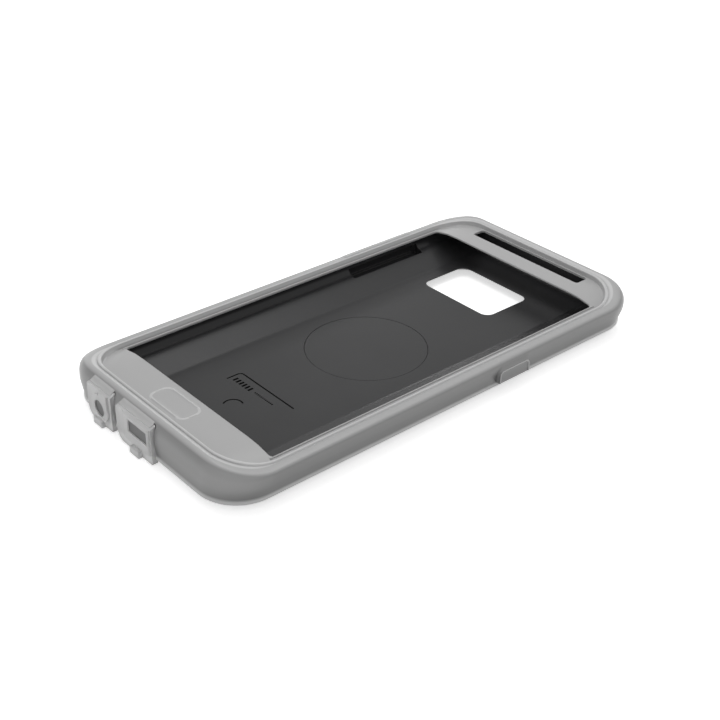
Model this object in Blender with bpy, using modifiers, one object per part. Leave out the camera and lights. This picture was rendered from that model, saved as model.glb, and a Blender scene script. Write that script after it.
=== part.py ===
"""Bicycle phone case: a hard rear tray with a twist-lock disc in its back, a soft
see-through rain frame stretched over it, and two soft covers over the sockets.

X runs across the case, +X on the side with the single power key. Y runs along it,
with the sockets at the -Y end. Z is up, towards the screen; the back lies on z = 0.
"""
import math

import bmesh
import bpy
from mathutils import Matrix, Vector

MM = 0.001

# The phone that the case holds, and how closely it is held
PHONE_WIDTH = 72.6 * MM
PHONE_LENGTH = 150.9 * MM
PHONE_THICKNESS = 7.7 * MM
PHONE_CORNER = 10.4 * MM
PHONE_PLAY = 0.2 * MM
PHONE_BACK_FLAT = 25.0 * MM
PHONE_BACK_RISE = 2.3 * MM
GLASS_FLAT = 26.0 * MM
GLASS_DROP = 1.3 * MM
GAP = 0.3 * MM

# The hard tray
FLOOR = 3.1 * MM
TRAY_WALL = 1.6 * MM
BACK_ROUNDING = 6.1 * MM
BACK_CURVE = ((1.0, 0.0), (0.43, 0.04), (0.13, 0.18), (0.0, 0.39))
BACK_CORNER_SHARE = 2 / 3
POCKET_DEPTH = 0.9 * MM
POCKET_LOW = 1.2 * MM
POCKET_HEIGHT = 3.4 * MM
POCKET_STEP = 1.5 * MM
POCKET_ROUNDING = 0.25 * MM
OPENING_WIDER = 1.0 * MM
OPENING_TALLER = 0.6 * MM
OPENING_ROUNDER = 0.4 * MM
OPENING_REACH = 3.0 * MM
CLEAR_PAST = 5.0 * MM

# The camera window in the tray
CAMERA_LEFT = -19.9 * MM
CAMERA_RIGHT = 10.2 * MM
CAMERA_BOTTOM = 42.7 * MM
CAMERA_TOP = 62.4 * MM
CAMERA_CORNER = 3.2 * MM
CAMERA_LAND = 0.4 * MM
CAMERA_FLARE = 4.6 * MM

# The marks moulded in the tray's floor
MARK_DEPTH = 0.25 * MM
MARK_WIDTH = 0.5 * MM
LABEL_TOP_Y = -38.2 * MM
LABEL_WIDTH = 25.0 * MM
LABEL_DROP = 5.2 * MM
LABEL_CORNER = 1.2 * MM
BAR_CENTRE_Y = -41.6 * MM
BAR_LENGTH = 8.6 * MM
BAR_WIDTH = 1.6 * MM
BAR_SPACE = 1.3 * MM
BAR_COUNT = 2
ARC_CENTRE_Y = -50.3 * MM
ARC_RADIUS = 2.9 * MM
ARC_FROM = 66.0
ARC_TO = 216.0

# The twist-lock disc
DISC_RADIUS = 19.05 * MM
DISC_STEP = 1.75 * MM
DISC_RIM = 1.3 * MM
SOCKET_RADIUS = 14.6 * MM
SOCKET_DEPTH = 2.2 * MM
SOCKET_LIP = 0.8 * MM
SOCKET_LIP_REACH = 2.0 * MM
LUG_COUNT = 3
LUG_WIDTH = 8.0 * MM
LUG_SHORT = 0.2 * MM
LUG_INNER = 3.0 * MM
LUG_PAST = 0.4 * MM

# The rain frame
FRAME_SIDE = 2.75 * MM
FRAME_END = 3.35 * MM
FRAME_FOOT = 1.6 * MM
FRAME_SKIN = 0.7 * MM
FRAME_ROUNDER = 0.8 * MM
SIDE_LIP = 1.45 * MM
RIDGE_SIDE = 0.8 * MM
RIDGE_END = 1.65 * MM
RIDGE_IN_SIDE = 0.75 * MM
RIDGE_IN_END = 1.75 * MM
SCREEN_LENGTH = 126.7 * MM
SCREEN_CORNER = 1.2 * MM
SPEAKER_LENGTH = 47.0 * MM
SPEAKER_WIDTH = 5.1 * MM
SPEAKER_CORNER = 1.2 * MM
SPEAKER_CENTRE_Y = 72.3 * MM
HOME_WIDTH = 16.4 * MM
HOME_HEIGHT = 7.0 * MM
HOME_CENTRE_Y = -69.3 * MM
HOME_BEAD = 0.28 * MM
HOME_CORNER = 2.3 * MM
KEY_PROUD = 0.75 * MM
KEY_ROUNDING = 0.6 * MM
KEY_END_ROUNDING = 0.48 * MM
KEY_LIFT = 0.3 * MM
KEY_FACE = 5.5 * MM
KEY_SHOULDER = 0.5 * MM
POWER_KEY_FROM = 15.3 * MM
POWER_KEY_TO = 28.2 * MM
VOLUME_KEY_FROM = 24.0 * MM
VOLUME_KEY_TO = 55.0 * MM

# The covers over the sockets
LAND_DEPTH = 1.3 * MM
COVER_THICKNESS = 1.9 * MM
COVER_LOW = 0.3 * MM
COVER_RISE = 0.7 * MM
COVER_RAMP = 1.2 * MM
COVER_CORNERS = (3.4 * MM, 0.4 * MM, 0.6 * MM, 3.0 * MM)
COVER_BLOCK = 0.45 * MM
BLOCK_ROUNDING = 0.35 * MM
BLOCK_SINK = 0.4 * MM
TAB_PROUD = 1.3 * MM
TAB_WIDTH = 4.6 * MM
TAB_HEIGHT = 2.3 * MM
TAB_LOW = 0.15 * MM
TAB_SHIFT = -0.4 * MM
HINGE_INSET = 0.15 * MM
USB_X = 0.0 * MM
USB_EAR = 4.4 * MM
USB_EDGE = 0.6 * MM
USB_BLOCK_WIDTH = 12.4 * MM
USB_BLOCK_LOW = 2.9 * MM
USB_HOLE_WIDTH = 11.0 * MM
USB_HOLE_HEIGHT = 5.2 * MM
USB_MARK_WIDTH = 9.2 * MM
USB_MARK_HEIGHT = 4.1 * MM
USB_MARK_SHIFT = 0.7 * MM
USB_MARK_RISE = 1.1 * MM
JACK_X = -18.8 * MM
JACK_EAR = 2.6 * MM
JACK_EDGE = 1.3 * MM
JACK_BLOCK_RADIUS = 4.3 * MM
JACK_BLOCK_DROP = 1.1 * MM
JACK_HEAD_LEFT = 0.2 * MM
JACK_HOLE_RADIUS = 3.5 * MM
JACK_MARK_RADIUS = 2.5 * MM
PLUG_PLAY = 0.45 * MM
PLUG_LENGTH = 1.9 * MM
MARK_SINK = 0.35 * MM

# How finely curves are divided
CORNER_STEPS = 10
ROUND_STEPS = 64
DRUM_SIDES = 40
PLATE_CORNER_STEPS = 5
LABEL_CORNER_STEPS = 6
ARC_STEPS = 12
BLOCK_EDGE_STEPS = 3
KEY_END_STEPS = 2
BEAD_STEPS = 2

# How meshes are finished
MERGE_WITHIN = 0.01 * MM
SMOOTH_BELOW = 35.0

# Heights that follow from the sizes above
DECK = FLOOR + PHONE_THICKNESS + PHONE_PLAY + FRAME_SKIN
SIDE_DECK = DECK - GLASS_DROP
SOCKET_HEIGHT = FLOOR + PHONE_THICKNESS / 2
COVER_HIGH = DECK + COVER_RISE
CAVITY_X = PHONE_WIDTH / 2 + PHONE_PLAY
CAVITY_Y = PHONE_LENGTH / 2 + PHONE_PLAY
TRAY_X = CAVITY_X + TRAY_WALL
TRAY_Y = CAVITY_Y + TRAY_WALL
BORE_X = TRAY_X + GAP
BORE_Y = TRAY_Y + GAP
SIDE_X = BORE_X + FRAME_SIDE
END_Y = BORE_Y + FRAME_END
SCREEN_X = CAVITY_X - SIDE_LIP
LAND_Y = END_Y - LAND_DEPTH
COVER_BACK_Y = LAND_Y + GAP
COVER_FRONT_Y = COVER_BACK_Y + COVER_THICKNESS
COVER_BLOCK_Y = COVER_FRONT_Y + COVER_BLOCK
TAB_Y = COVER_FRONT_Y + TAB_PROUD
CENTRE_Y = (TAB_Y - END_Y) / 2


def clear_scene():
    """Remove what the file holds, so that the part stands alone."""
    for thing in list(bpy.data.objects):
        bpy.data.objects.remove(thing, do_unlink=True)


def new_collection(name):
    """A collection for the parts, or for the shapes that cut and join them."""
    folder = bpy.data.collections.new(name)
    bpy.context.scene.collection.children.link(folder)
    return folder


def add_mesh(name, body, folder):
    """Turn a bmesh into a named object in a collection."""
    bmesh.ops.recalc_face_normals(body, faces=body.faces)
    mesh = bpy.data.meshes.new(name)
    body.to_mesh(mesh)
    body.free()
    thing = bpy.data.objects.new(name, mesh)
    folder.objects.link(thing)
    return thing


def as_tool(thing):
    """Mark an object as a shape that only cuts or joins another."""
    thing.hide_render = True
    thing.display_type = "WIRE"
    return thing


def cut(target, tool, operation="DIFFERENCE"):
    """Cut a tool out of the target, or join it on."""
    step = target.modifiers.new(tool.name, "BOOLEAN")
    step.operation = operation
    step.object = as_tool(tool)
    step.solver = "EXACT"


def material(name, colour, roughness, alpha=1.0):
    """A plain moulded plastic."""
    finish = bpy.data.materials.new(name)
    finish.use_nodes = True
    shader = finish.node_tree.nodes["Principled BSDF"]
    shader.inputs["Base Color"].default_value = (*colour, 1.0)
    shader.inputs["Roughness"].default_value = roughness
    shader.inputs["Metallic"].default_value = 0.0
    shader.inputs["Alpha"].default_value = alpha
    return finish


def rounded_ring(half_x, half_y, radius, side_z, end_z, centre=(0.0, 0.0)):
    """Points around a rounded rectangle whose height passes from the sides to the ends."""
    points = []
    for quarter, (sign_x, sign_y) in enumerate(((1, 1), (-1, 1), (-1, -1), (1, -1))):
        for step in range(CORNER_STEPS + 1):
            angle = math.radians(90.0 * (quarter + step / CORNER_STEPS))
            x = sign_x * (half_x - radius) + radius * math.cos(angle)
            y = sign_y * (half_y - radius) + radius * math.sin(angle)
            z = side_z * math.cos(angle) ** 2 + end_z * math.sin(angle) ** 2
            points.append(Vector((centre[0] + x, centre[1] + y, z)))
    return points


def follow(points, height):
    """The same ring with each point set to a height that depends on x alone."""
    return [Vector((p.x, p.y, height(p.x))) for p in points]


def cap(body, ring, turned):
    """Close a ring with strips that run from one end of the case to the other."""
    last = len(ring) - 1
    for i in range(len(ring) // 2 - 1):
        strip = [ring[i], ring[i + 1], ring[last - i - 1], ring[last - i]]
        if turned:
            strip.reverse()
        body.faces.new(strip)


def loft(name, rings, folder):
    """A closed body through rings of points, listed from the lowest to the top."""
    body = bmesh.new()
    rows = [[body.verts.new(point) for point in ring] for ring in rings]
    for low, high in zip(rows, rows[1:]):
        for i in range(len(low)):
            j = (i + 1) % len(low)
            body.faces.new((low[i], low[j], high[j], high[i]))
    cap(body, rows[0], True)
    cap(body, rows[-1], False)
    return add_mesh(name, body, folder)


def prism(name, half_x, half_y, radius, low, high, folder, centre=(0.0, 0.0)):
    """An upright block with a rounded rectangle for its plan."""
    rings = [rounded_ring(half_x, half_y, radius, z, z, centre) for z in (low, high)]
    return loft(name, rings, folder)


def block(name, lows, highs, rounding, folder):
    """A box between two corners, with its edges rounded."""
    body = bmesh.new()
    bmesh.ops.create_cube(body, size=1.0)
    size = Vector(highs) - Vector(lows)
    centre = (Vector(highs) + Vector(lows)) / 2
    bmesh.ops.scale(body, vec=size, verts=body.verts)
    bmesh.ops.translate(body, vec=centre, verts=body.verts)
    if rounding > 0.0:
        bmesh.ops.bevel(body, geom=list(body.edges), offset=rounding,
                        segments=BLOCK_EDGE_STEPS, profile=0.5, affect="EDGES")
    return add_mesh(name, body, folder)


def drum(name, radius, near_y, far_y, x, z, folder):
    """A round block that lies along Y."""
    body = bmesh.new()
    turn = Matrix.Rotation(math.pi / 2, 4, "X")
    place = Matrix.Translation((x, (near_y + far_y) / 2, z))
    bmesh.ops.create_cone(body, cap_ends=True, segments=DRUM_SIDES, radius1=radius,
                          radius2=radius, depth=abs(far_y - near_y), matrix=place @ turn)
    return add_mesh(name, body, folder)


def curve_mesh(name, points, folder, closed, bevel=0.0, extrude=0.0):
    """A curve through points, as a closed mesh: a round bead, or a flat plate."""
    curve = bpy.data.curves.new(name, "CURVE")
    curve.dimensions = "3D" if bevel else "2D"
    curve.bevel_depth = bevel
    curve.bevel_resolution = BEAD_STEPS
    curve.extrude = extrude
    curve.use_fill_caps = True
    if not bevel:
        curve.fill_mode = "BOTH"
    spline = curve.splines.new("POLY")
    spline.points.add(len(points) - 1)
    for target, point in zip(spline.points, points):
        target.co = (point[0], point[1], point[2] if len(point) > 2 else 0.0, 1.0)
    spline.use_cyclic_u = closed
    drawn = bpy.data.objects.new(name + "_line", curve)
    folder.objects.link(drawn)
    bpy.context.view_layer.update()
    seen = drawn.evaluated_get(bpy.context.evaluated_depsgraph_get())
    mesh = bpy.data.meshes.new_from_object(seen)
    body = bmesh.new()
    body.from_mesh(mesh)
    bmesh.ops.remove_doubles(body, verts=body.verts, dist=MERGE_WITHIN)
    bpy.data.meshes.remove(mesh)
    place = drawn.matrix_world.copy()
    bpy.data.objects.remove(drawn, do_unlink=True)
    thing = add_mesh(name, body, folder)
    thing.matrix_world = place
    return thing


def plate_outline(left, right, low, high, radii):
    """Corners of a plate, each rounded by its own radius: from low left, round by the right."""
    corners = ((left, low, 180), (right, low, 270), (right, high, 0), (left, high, 90))
    points = []
    for (x, z, start), radius in zip(corners, radii):
        turn_x = x + radius if x == left else x - radius
        turn_z = z + radius if z == low else z - radius
        for step in range(PLATE_CORNER_STEPS + 1):
            angle = math.radians(start + 90.0 * step / PLATE_CORNER_STEPS)
            points.append((turn_x + radius * math.cos(angle), turn_z + radius * math.sin(angle)))
    return points


def stand_up(thing, y):
    """Stand a plate that was drawn flat on end, with its middle at y."""
    thing.data.transform(Matrix.Translation((0.0, y, 0.0)) @ Matrix.Rotation(math.pi / 2, 4, "X"))
    return thing


def deck_height(x):
    """Height of the frame's face over the glass, which curves down at both long sides."""
    over = max(0.0, abs(x) - GLASS_FLAT) / (SCREEN_X - GLASS_FLAT)
    return DECK - GLASS_DROP * over ** 2


def skin_under(x):
    """Height of the frame's underside, where the glass touches it."""
    return deck_height(x) - FRAME_SKIN


def tray_top(x):
    """Height of the tray's rim, under the frame."""
    return skin_under(x) - GAP


def floor_height(x):
    """Height of the tray's floor, which follows the curved back of the phone."""
    over = max(0.0, abs(x) - PHONE_BACK_FLAT) / (CAVITY_X - PHONE_BACK_FLAT)
    return FLOOR + PHONE_BACK_RISE * over ** 2


def build_tray(parts, tools):
    """The hard tray: floor, walls, camera window, disc seat, key pockets and socket openings."""
    corner = PHONE_CORNER + TRAY_WALL
    rings = []
    for share_in, share_up in BACK_CURVE:
        inset = share_in * BACK_ROUNDING
        rise = share_up * BACK_ROUNDING
        rings.append(rounded_ring(TRAY_X - inset, TRAY_Y - inset, corner - inset * BACK_CORNER_SHARE,
                                  rise, rise))
    rings.append(follow(rounded_ring(TRAY_X, TRAY_Y, corner, 0.0, 0.0), tray_top))
    tray = loft("rear_shell", rings, parts)

    inside = rounded_ring(CAVITY_X, CAVITY_Y, PHONE_CORNER, 0.0, 0.0)
    top = DECK + CLEAR_PAST
    cut(tray, loft("phone_space", [
        follow(inside, floor_height),
        rounded_ring(CAVITY_X, CAVITY_Y, PHONE_CORNER, top, top),
    ], tools))

    centre = ((CAMERA_LEFT + CAMERA_RIGHT) / 2, (CAMERA_BOTTOM + CAMERA_TOP) / 2)
    half_x = (CAMERA_RIGHT - CAMERA_LEFT) / 2
    half_y = (CAMERA_TOP - CAMERA_BOTTOM) / 2
    edge = FLOOR - CAMERA_LAND
    cut(tray, loft("camera_window", [
        rounded_ring(half_x + 2 * CAMERA_FLARE, half_y + 2 * CAMERA_FLARE,
                     CAMERA_CORNER + 2 * CAMERA_FLARE, -edge, -edge, centre),
        rounded_ring(half_x, half_y, CAMERA_CORNER, edge, edge, centre),
        rounded_ring(half_x, half_y, CAMERA_CORNER, 2 * FLOOR, 2 * FLOOR, centre),
    ], tools))

    for name, radius, low in (("disc_seat", DISC_RADIUS + GAP, FLOOR - DISC_RIM - GAP),
                              ("disc_hole", DISC_RADIUS - DISC_STEP + GAP, -FLOOR)):
        body = bmesh.new()
        place = Matrix.Translation((0.0, 0.0, (low + 2 * FLOOR) / 2))
        bmesh.ops.create_cone(body, cap_ends=True, segments=ROUND_STEPS, radius1=radius,
                              radius2=radius, depth=2 * FLOOR - low, matrix=place)
        cut(tray, add_mesh(name, body, tools))

    for name, side, start, end in (("power_pocket", 1, POWER_KEY_FROM, POWER_KEY_TO),
                                   ("volume_pocket", -1, VOLUME_KEY_FROM, VOLUME_KEY_TO)):
        for ledge, depth, inset in (("", POCKET_DEPTH, POCKET_STEP),
                                    ("_ledge", POCKET_DEPTH / 2, 0.0)):
            faces = sorted((side * (CAVITY_X - POCKET_HEIGHT), side * (CAVITY_X + depth)))
            low = FLOOR + POCKET_LOW
            lows = (faces[0], start + inset, low + inset / 3)
            highs = (faces[1], end - inset, low + POCKET_HEIGHT - inset / 3)
            cut(tray, block(name + ledge, lows, highs, POCKET_ROUNDING, tools))

    wide = USB_HOLE_WIDTH / 2 + OPENING_WIDER
    tall = USB_HOLE_HEIGHT / 2 + OPENING_TALLER
    cut(tray, block("usb_tray_opening", (USB_X - wide, -END_Y, SOCKET_HEIGHT - tall),
                    (USB_X + wide, -CAVITY_Y + OPENING_REACH, SOCKET_HEIGHT + tall), 0.0, tools))
    cut(tray, drum("jack_tray_opening", JACK_HOLE_RADIUS + OPENING_ROUNDER, -END_Y,
                   -CAVITY_Y + OPENING_REACH, JACK_X, SOCKET_HEIGHT, tools))

    left = -LABEL_WIDTH / 2
    line = [(left, LABEL_TOP_Y - LABEL_DROP, FLOOR)]
    for step in range(LABEL_CORNER_STEPS + 1):
        angle = math.radians(180.0 - 90.0 * step / LABEL_CORNER_STEPS)
        line.append((left + LABEL_CORNER * (1.0 + math.cos(angle)),
                     LABEL_TOP_Y - LABEL_CORNER * (1.0 - math.sin(angle)), FLOOR))
    line.append((-left, LABEL_TOP_Y, FLOOR))
    cut(tray, curve_mesh("label_line", line, tools, False, bevel=MARK_WIDTH / 2))
    for i in range(BAR_COUNT):
        middle = left + LABEL_CORNER + BAR_LENGTH / 2 + i * (BAR_LENGTH + BAR_SPACE)
        cut(tray, prism(f"label_bar_{i}", BAR_LENGTH / 2, BAR_WIDTH / 2, BAR_WIDTH / 3,
                        FLOOR - MARK_DEPTH, 2 * FLOOR, tools, (middle, BAR_CENTRE_Y)))
    arc = []
    for step in range(ARC_STEPS + 1):
        angle = math.radians(ARC_FROM + (ARC_TO - ARC_FROM) * step / ARC_STEPS)
        arc.append((ARC_RADIUS * math.cos(angle),
                    ARC_CENTRE_Y + ARC_RADIUS * math.sin(angle), FLOOR))
    cut(tray, curve_mesh("moulding_arc", arc, tools, False, bevel=MARK_WIDTH / 2))
    tray.data.materials.append(material("black_hard_plastic", (0.028, 0.028, 0.029), 0.5))
    return tray


def build_disc(parts, tools):
    """The round insert in the tray's floor, with the twist-lock socket in its back."""
    neck = DISC_RADIUS - DISC_STEP
    mouth = SOCKET_RADIUS - SOCKET_LIP_REACH
    profile = ((0.0, FLOOR), (DISC_RADIUS, FLOOR), (DISC_RADIUS, FLOOR - DISC_RIM),
               (neck, FLOOR - DISC_RIM), (neck, 0.0), (mouth, 0.0), (mouth, SOCKET_LIP),
               (SOCKET_RADIUS, SOCKET_LIP), (SOCKET_RADIUS, SOCKET_DEPTH), (0.0, SOCKET_DEPTH))
    mesh = bpy.data.meshes.new("mount_disc")
    points = [(r, 0.0, z) for r, z in profile]
    mesh.from_pydata(points, [(i, i + 1) for i in range(len(points) - 1)], [])
    disc = bpy.data.objects.new("mount_disc", mesh)
    parts.objects.link(disc)
    turned = disc.modifiers.new("turned", "SCREW")
    turned.steps = ROUND_STEPS
    turned.render_steps = ROUND_STEPS
    turned.use_merge_vertices = True
    turned.merge_threshold = MERGE_WITHIN
    for i in range(LUG_COUNT):
        angle = 2 * math.pi * i / LUG_COUNT
        reach = SOCKET_RADIUS - LUG_SHORT
        slot = block(f"lug_slot_{i}", (mouth - LUG_INNER, -LUG_WIDTH / 2, -CLEAR_PAST),
                     (reach, LUG_WIDTH / 2, SOCKET_LIP + LUG_PAST), 0.0, tools)
        slot.data.transform(Matrix.Rotation(angle, 4, "Z"))
        cut(disc, slot)
    disc.data.materials.append(material("black_disc_plastic", (0.030, 0.030, 0.031), 0.5))
    return disc


def frame_rings():
    """Rings of the frame's outer surface, from its foot, over the rim, to the screen opening."""
    corner = PHONE_CORNER + TRAY_WALL + FRAME_ROUNDER
    side_ridge = SIDE_DECK + RIDGE_SIDE
    end_ridge = DECK + RIDGE_END
    foot = FRAME_FOOT
    ridge_x = BORE_X - RIDGE_IN_SIDE
    ridge_y = BORE_Y - RIDGE_IN_END
    rows = (
        (SIDE_X - 2.1 * MM, END_Y - 0.8 * MM, foot, foot),
        (SIDE_X - 1.45 * MM, END_Y - 0.1 * MM, foot + 0.45 * MM, foot + 0.45 * MM),
        (SIDE_X - 1.45 * MM, END_Y - 0.1 * MM, foot + 1.0 * MM, foot + 1.0 * MM),
        (SIDE_X - 1.65 * MM, END_Y - 0.35 * MM, foot + 1.5 * MM, foot + 1.5 * MM),
        (SIDE_X - 0.9 * MM, END_Y - 0.15 * MM, foot + 3.9 * MM, foot + 3.9 * MM),
        (SIDE_X - 0.2 * MM, END_Y, foot + 6.2 * MM, foot + 6.4 * MM),
        (SIDE_X, END_Y - 0.35 * MM, side_ridge - 1.5 * MM, end_ridge - 2.2 * MM),
        (SIDE_X - 0.15 * MM, END_Y - 1.2 * MM, side_ridge - 0.9 * MM, end_ridge - 0.75 * MM),
        (SIDE_X - 0.75 * MM, END_Y - 2.4 * MM, side_ridge - 0.5 * MM, end_ridge + 0.2 * MM),
        (SIDE_X - 1.9 * MM, END_Y - 3.6 * MM, side_ridge - 0.3 * MM, end_ridge + 0.25 * MM),
        (ridge_x + 0.45 * MM, ridge_y + 0.5 * MM, side_ridge - 0.15 * MM, end_ridge - 0.1 * MM),
        (ridge_x, ridge_y, side_ridge, end_ridge),
        (ridge_x - 0.4 * MM, ridge_y - 0.4 * MM, side_ridge - 0.2 * MM, end_ridge - 0.25 * MM),
        (ridge_x - 0.75 * MM, ridge_y - 0.7 * MM, side_ridge - 0.7 * MM, DECK + 0.2 * MM),
    )
    rings = [rounded_ring(x, y, corner, side, end) for x, y, side, end in rows]
    inner = rounded_ring(ridge_x - 1.15 * MM, ridge_y - 1.1 * MM, corner - FRAME_ROUNDER, 0.0, 0.0)
    rings.append(follow(inner, deck_height))
    return rings


def key_bump(name, side, start, end, tools):
    """A bump over a key: an upright face that leans back to the rim along its top."""
    face = SIDE_X + KEY_PROUD
    low = FLOOR + KEY_LIFT
    high = SIDE_DECK + KEY_SHOULDER
    root = BORE_X - KEY_PROUD
    profile = ((root, low), (face - KEY_ROUNDING, low), (face, low + KEY_ROUNDING),
               (face, low + KEY_FACE - KEY_ROUNDING), (face - KEY_ROUNDING / 2, low + KEY_FACE),
               (SIDE_X - KEY_PROUD, high), (root, high))
    bump = curve_mesh(name, [(side * x, z) for x, z in profile], tools, True,
                      extrude=(end - start) / 2)
    body = bmesh.new()
    body.from_mesh(bump.data)
    ends = [edge for edge in body.edges if abs(edge.verts[0].co.z - edge.verts[1].co.z) < GAP
            and min(abs(vert.co.x) for vert in edge.verts) > root + GAP]
    bmesh.ops.bevel(body, geom=ends, offset=KEY_END_ROUNDING, segments=KEY_END_STEPS,
                    profile=0.5, affect="EDGES")
    body.to_mesh(bump.data)
    body.free()
    return stand_up(bump, (start + end) / 2)


def build_frame(parts, tools):
    """The soft rain frame: one moulding with its key bumps, screen opening and socket holes."""
    frame = loft("rain_frame", frame_rings(), parts)

    for name, side, start, end in (("power_key", 1, POWER_KEY_FROM, POWER_KEY_TO),
                                   ("volume_key", -1, VOLUME_KEY_FROM, VOLUME_KEY_TO)):
        cut(frame, key_bump(name, side, start, end, tools), "UNION")

    bore = rounded_ring(BORE_X, BORE_Y, PHONE_CORNER + TRAY_WALL + GAP, 0.0, 0.0)
    cut(frame, loft("tray_space", [
        follow(bore, lambda x: -FLOOR),
        follow(bore, skin_under),
    ], tools))
    cut(frame, prism("screen_opening", SCREEN_X, SCREEN_LENGTH / 2, SCREEN_CORNER,
                     0.0, DECK + CLEAR_PAST, tools))
    cut(frame, prism("speaker_slot", SPEAKER_LENGTH / 2, SPEAKER_WIDTH / 2, SPEAKER_CORNER,
                     FLOOR, DECK + CLEAR_PAST, tools, (0.0, SPEAKER_CENTRE_Y)))

    bead = rounded_ring(HOME_WIDTH / 2, HOME_HEIGHT / 2, HOME_CORNER,
                        DECK, DECK, (0.0, HOME_CENTRE_Y))
    cut(frame, curve_mesh("home_outline", bead, tools, True, bevel=HOME_BEAD), "UNION")

    for name, left, right in cover_spans():
        radii = [radius + GAP for radius in COVER_CORNERS]
        outline = plate_outline(left - GAP, right + GAP, COVER_LOW - GAP, COVER_HIGH + GAP, radii)
        land = curve_mesh(name + "_land", outline, tools, True, extrude=LAND_DEPTH)
        cut(frame, stand_up(land, -LAND_Y - LAND_DEPTH))
    half = (USB_HOLE_WIDTH / 2, USB_HOLE_HEIGHT / 2)
    cut(frame, block("usb_hole", (USB_X - half[0], -END_Y, SOCKET_HEIGHT - half[1]),
                     (USB_X + half[0], -CAVITY_Y, SOCKET_HEIGHT + half[1]), 0.0, tools))
    cut(frame, drum("jack_hole", JACK_HOLE_RADIUS, -END_Y, -CAVITY_Y, JACK_X,
                    SOCKET_HEIGHT, tools))
    frame.data.materials.append(material("clear_soft_plastic", (0.62, 0.62, 0.62), 0.45, 0.7))
    return frame


def cover_spans():
    """Where each cover's plate begins and ends: the block, with a finger ear on its left."""
    return (("usb_flap", USB_X - USB_BLOCK_WIDTH / 2 - USB_EAR,
             USB_X + USB_BLOCK_WIDTH / 2 + USB_EDGE),
            ("jack_flap", JACK_X - JACK_BLOCK_RADIUS - JACK_EAR,
             JACK_X + JACK_BLOCK_RADIUS + JACK_EDGE))


def ramp(name, tools):
    """The space over a cover, whose top slopes down from the rim to the block's face."""
    reach = COVER_BLOCK_Y - COVER_BACK_Y
    space = block(name, (-END_Y, -END_Y, 0.0), (END_Y, END_Y, END_Y), 0.0, tools)
    place = Matrix.Translation((0.0, -COVER_BACK_Y, COVER_HIGH))
    space.data.transform(place @ Matrix.Rotation(math.atan2(COVER_RAMP, reach), 4, "X"))
    return space


def build_covers(parts, tools):
    """The two socket covers. Each swings up and out on the soft web along its top edge."""
    covers = []
    root = -COVER_BACK_Y - BLOCK_SINK
    for (name, left, right), middle in zip(cover_spans(), (USB_X, JACK_X)):
        outline = plate_outline(left, right, COVER_LOW, COVER_HIGH + GAP, COVER_CORNERS)
        cover = curve_mesh(name, outline, parts, True, extrude=COVER_THICKNESS / 2)
        stand_up(cover, -(COVER_BACK_Y + COVER_FRONT_Y) / 2)
        tab_x = middle + TAB_SHIFT
        cut(cover, block(name + "_tab", (tab_x - TAB_WIDTH / 2, -TAB_Y, TAB_LOW),
                         (tab_x + TAB_WIDTH / 2, root, TAB_LOW + TAB_HEIGHT),
                         BLOCK_ROUNDING, tools), "UNION")
        covers.append(cover)
    usb, jack = covers

    head = COVER_HIGH + GAP / 2
    half = USB_BLOCK_WIDTH / 2
    cut(usb, block("usb_block", (USB_X - half, -COVER_BLOCK_Y, USB_BLOCK_LOW),
                   (USB_X + half, root, head), BLOCK_ROUNDING, tools), "UNION")
    wide = USB_HOLE_WIDTH / 2 - PLUG_PLAY
    tall = USB_HOLE_HEIGHT / 2 - PLUG_PLAY
    cut(usb, block("usb_plug", (USB_X - wide, root - BLOCK_SINK, SOCKET_HEIGHT - tall),
                   (USB_X + wide, -COVER_BACK_Y + PLUG_LENGTH, SOCKET_HEIGHT + tall),
                   BLOCK_ROUNDING, tools), "UNION")
    mark_x = USB_X + USB_MARK_SHIFT
    mark_z = SOCKET_HEIGHT + USB_MARK_RISE
    cut(usb, block("usb_mark", (mark_x - USB_MARK_WIDTH / 2, -COVER_BLOCK_Y - END_Y,
                                mark_z - USB_MARK_HEIGHT / 2),
                   (mark_x + USB_MARK_WIDTH / 2, -COVER_BLOCK_Y + MARK_SINK,
                    mark_z + USB_MARK_HEIGHT / 2), 0.0, tools))

    middle = SOCKET_HEIGHT - JACK_BLOCK_DROP
    cut(jack, drum("jack_block", JACK_BLOCK_RADIUS, -COVER_BLOCK_Y, root, JACK_X, middle,
                   tools), "UNION")
    cut(jack, block("jack_head", (JACK_X + JACK_HEAD_LEFT, -COVER_BLOCK_Y - BLOCK_ROUNDING / 4,
                                  middle),
                    (JACK_X + JACK_BLOCK_RADIUS - BLOCK_ROUNDING / 4, root, head),
                    BLOCK_ROUNDING, tools), "UNION")
    cut(jack, drum("jack_plug", JACK_HOLE_RADIUS - PLUG_PLAY, root - BLOCK_SINK,
                   -COVER_BACK_Y + PLUG_LENGTH, JACK_X, SOCKET_HEIGHT, tools), "UNION")
    cut(jack, drum("jack_mark", JACK_MARK_RADIUS, -COVER_BLOCK_Y - END_Y,
                   -COVER_BLOCK_Y + MARK_SINK, JACK_X, middle, tools))
    for cover in covers:
        cut(cover, ramp(cover.name + "_ramp", tools))
        cover.data.materials.append(material(cover.name + "_plastic", (0.68, 0.68, 0.68), 0.35, 0.6))
    return covers


def hang_on_hinge(cover, x, tools, anchor):
    """Put a cover's origin on its hinge line by hanging it from an empty there."""
    hinge = bpy.data.objects.new(cover.name + "_hinge", None)
    tools.objects.link(hinge)
    hinge.location = (x, -COVER_BACK_Y - HINGE_INSET, COVER_HIGH - HINGE_INSET)
    hinge.parent = anchor
    cover.parent = hinge
    cover.location = [-value for value in hinge.location]


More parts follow.
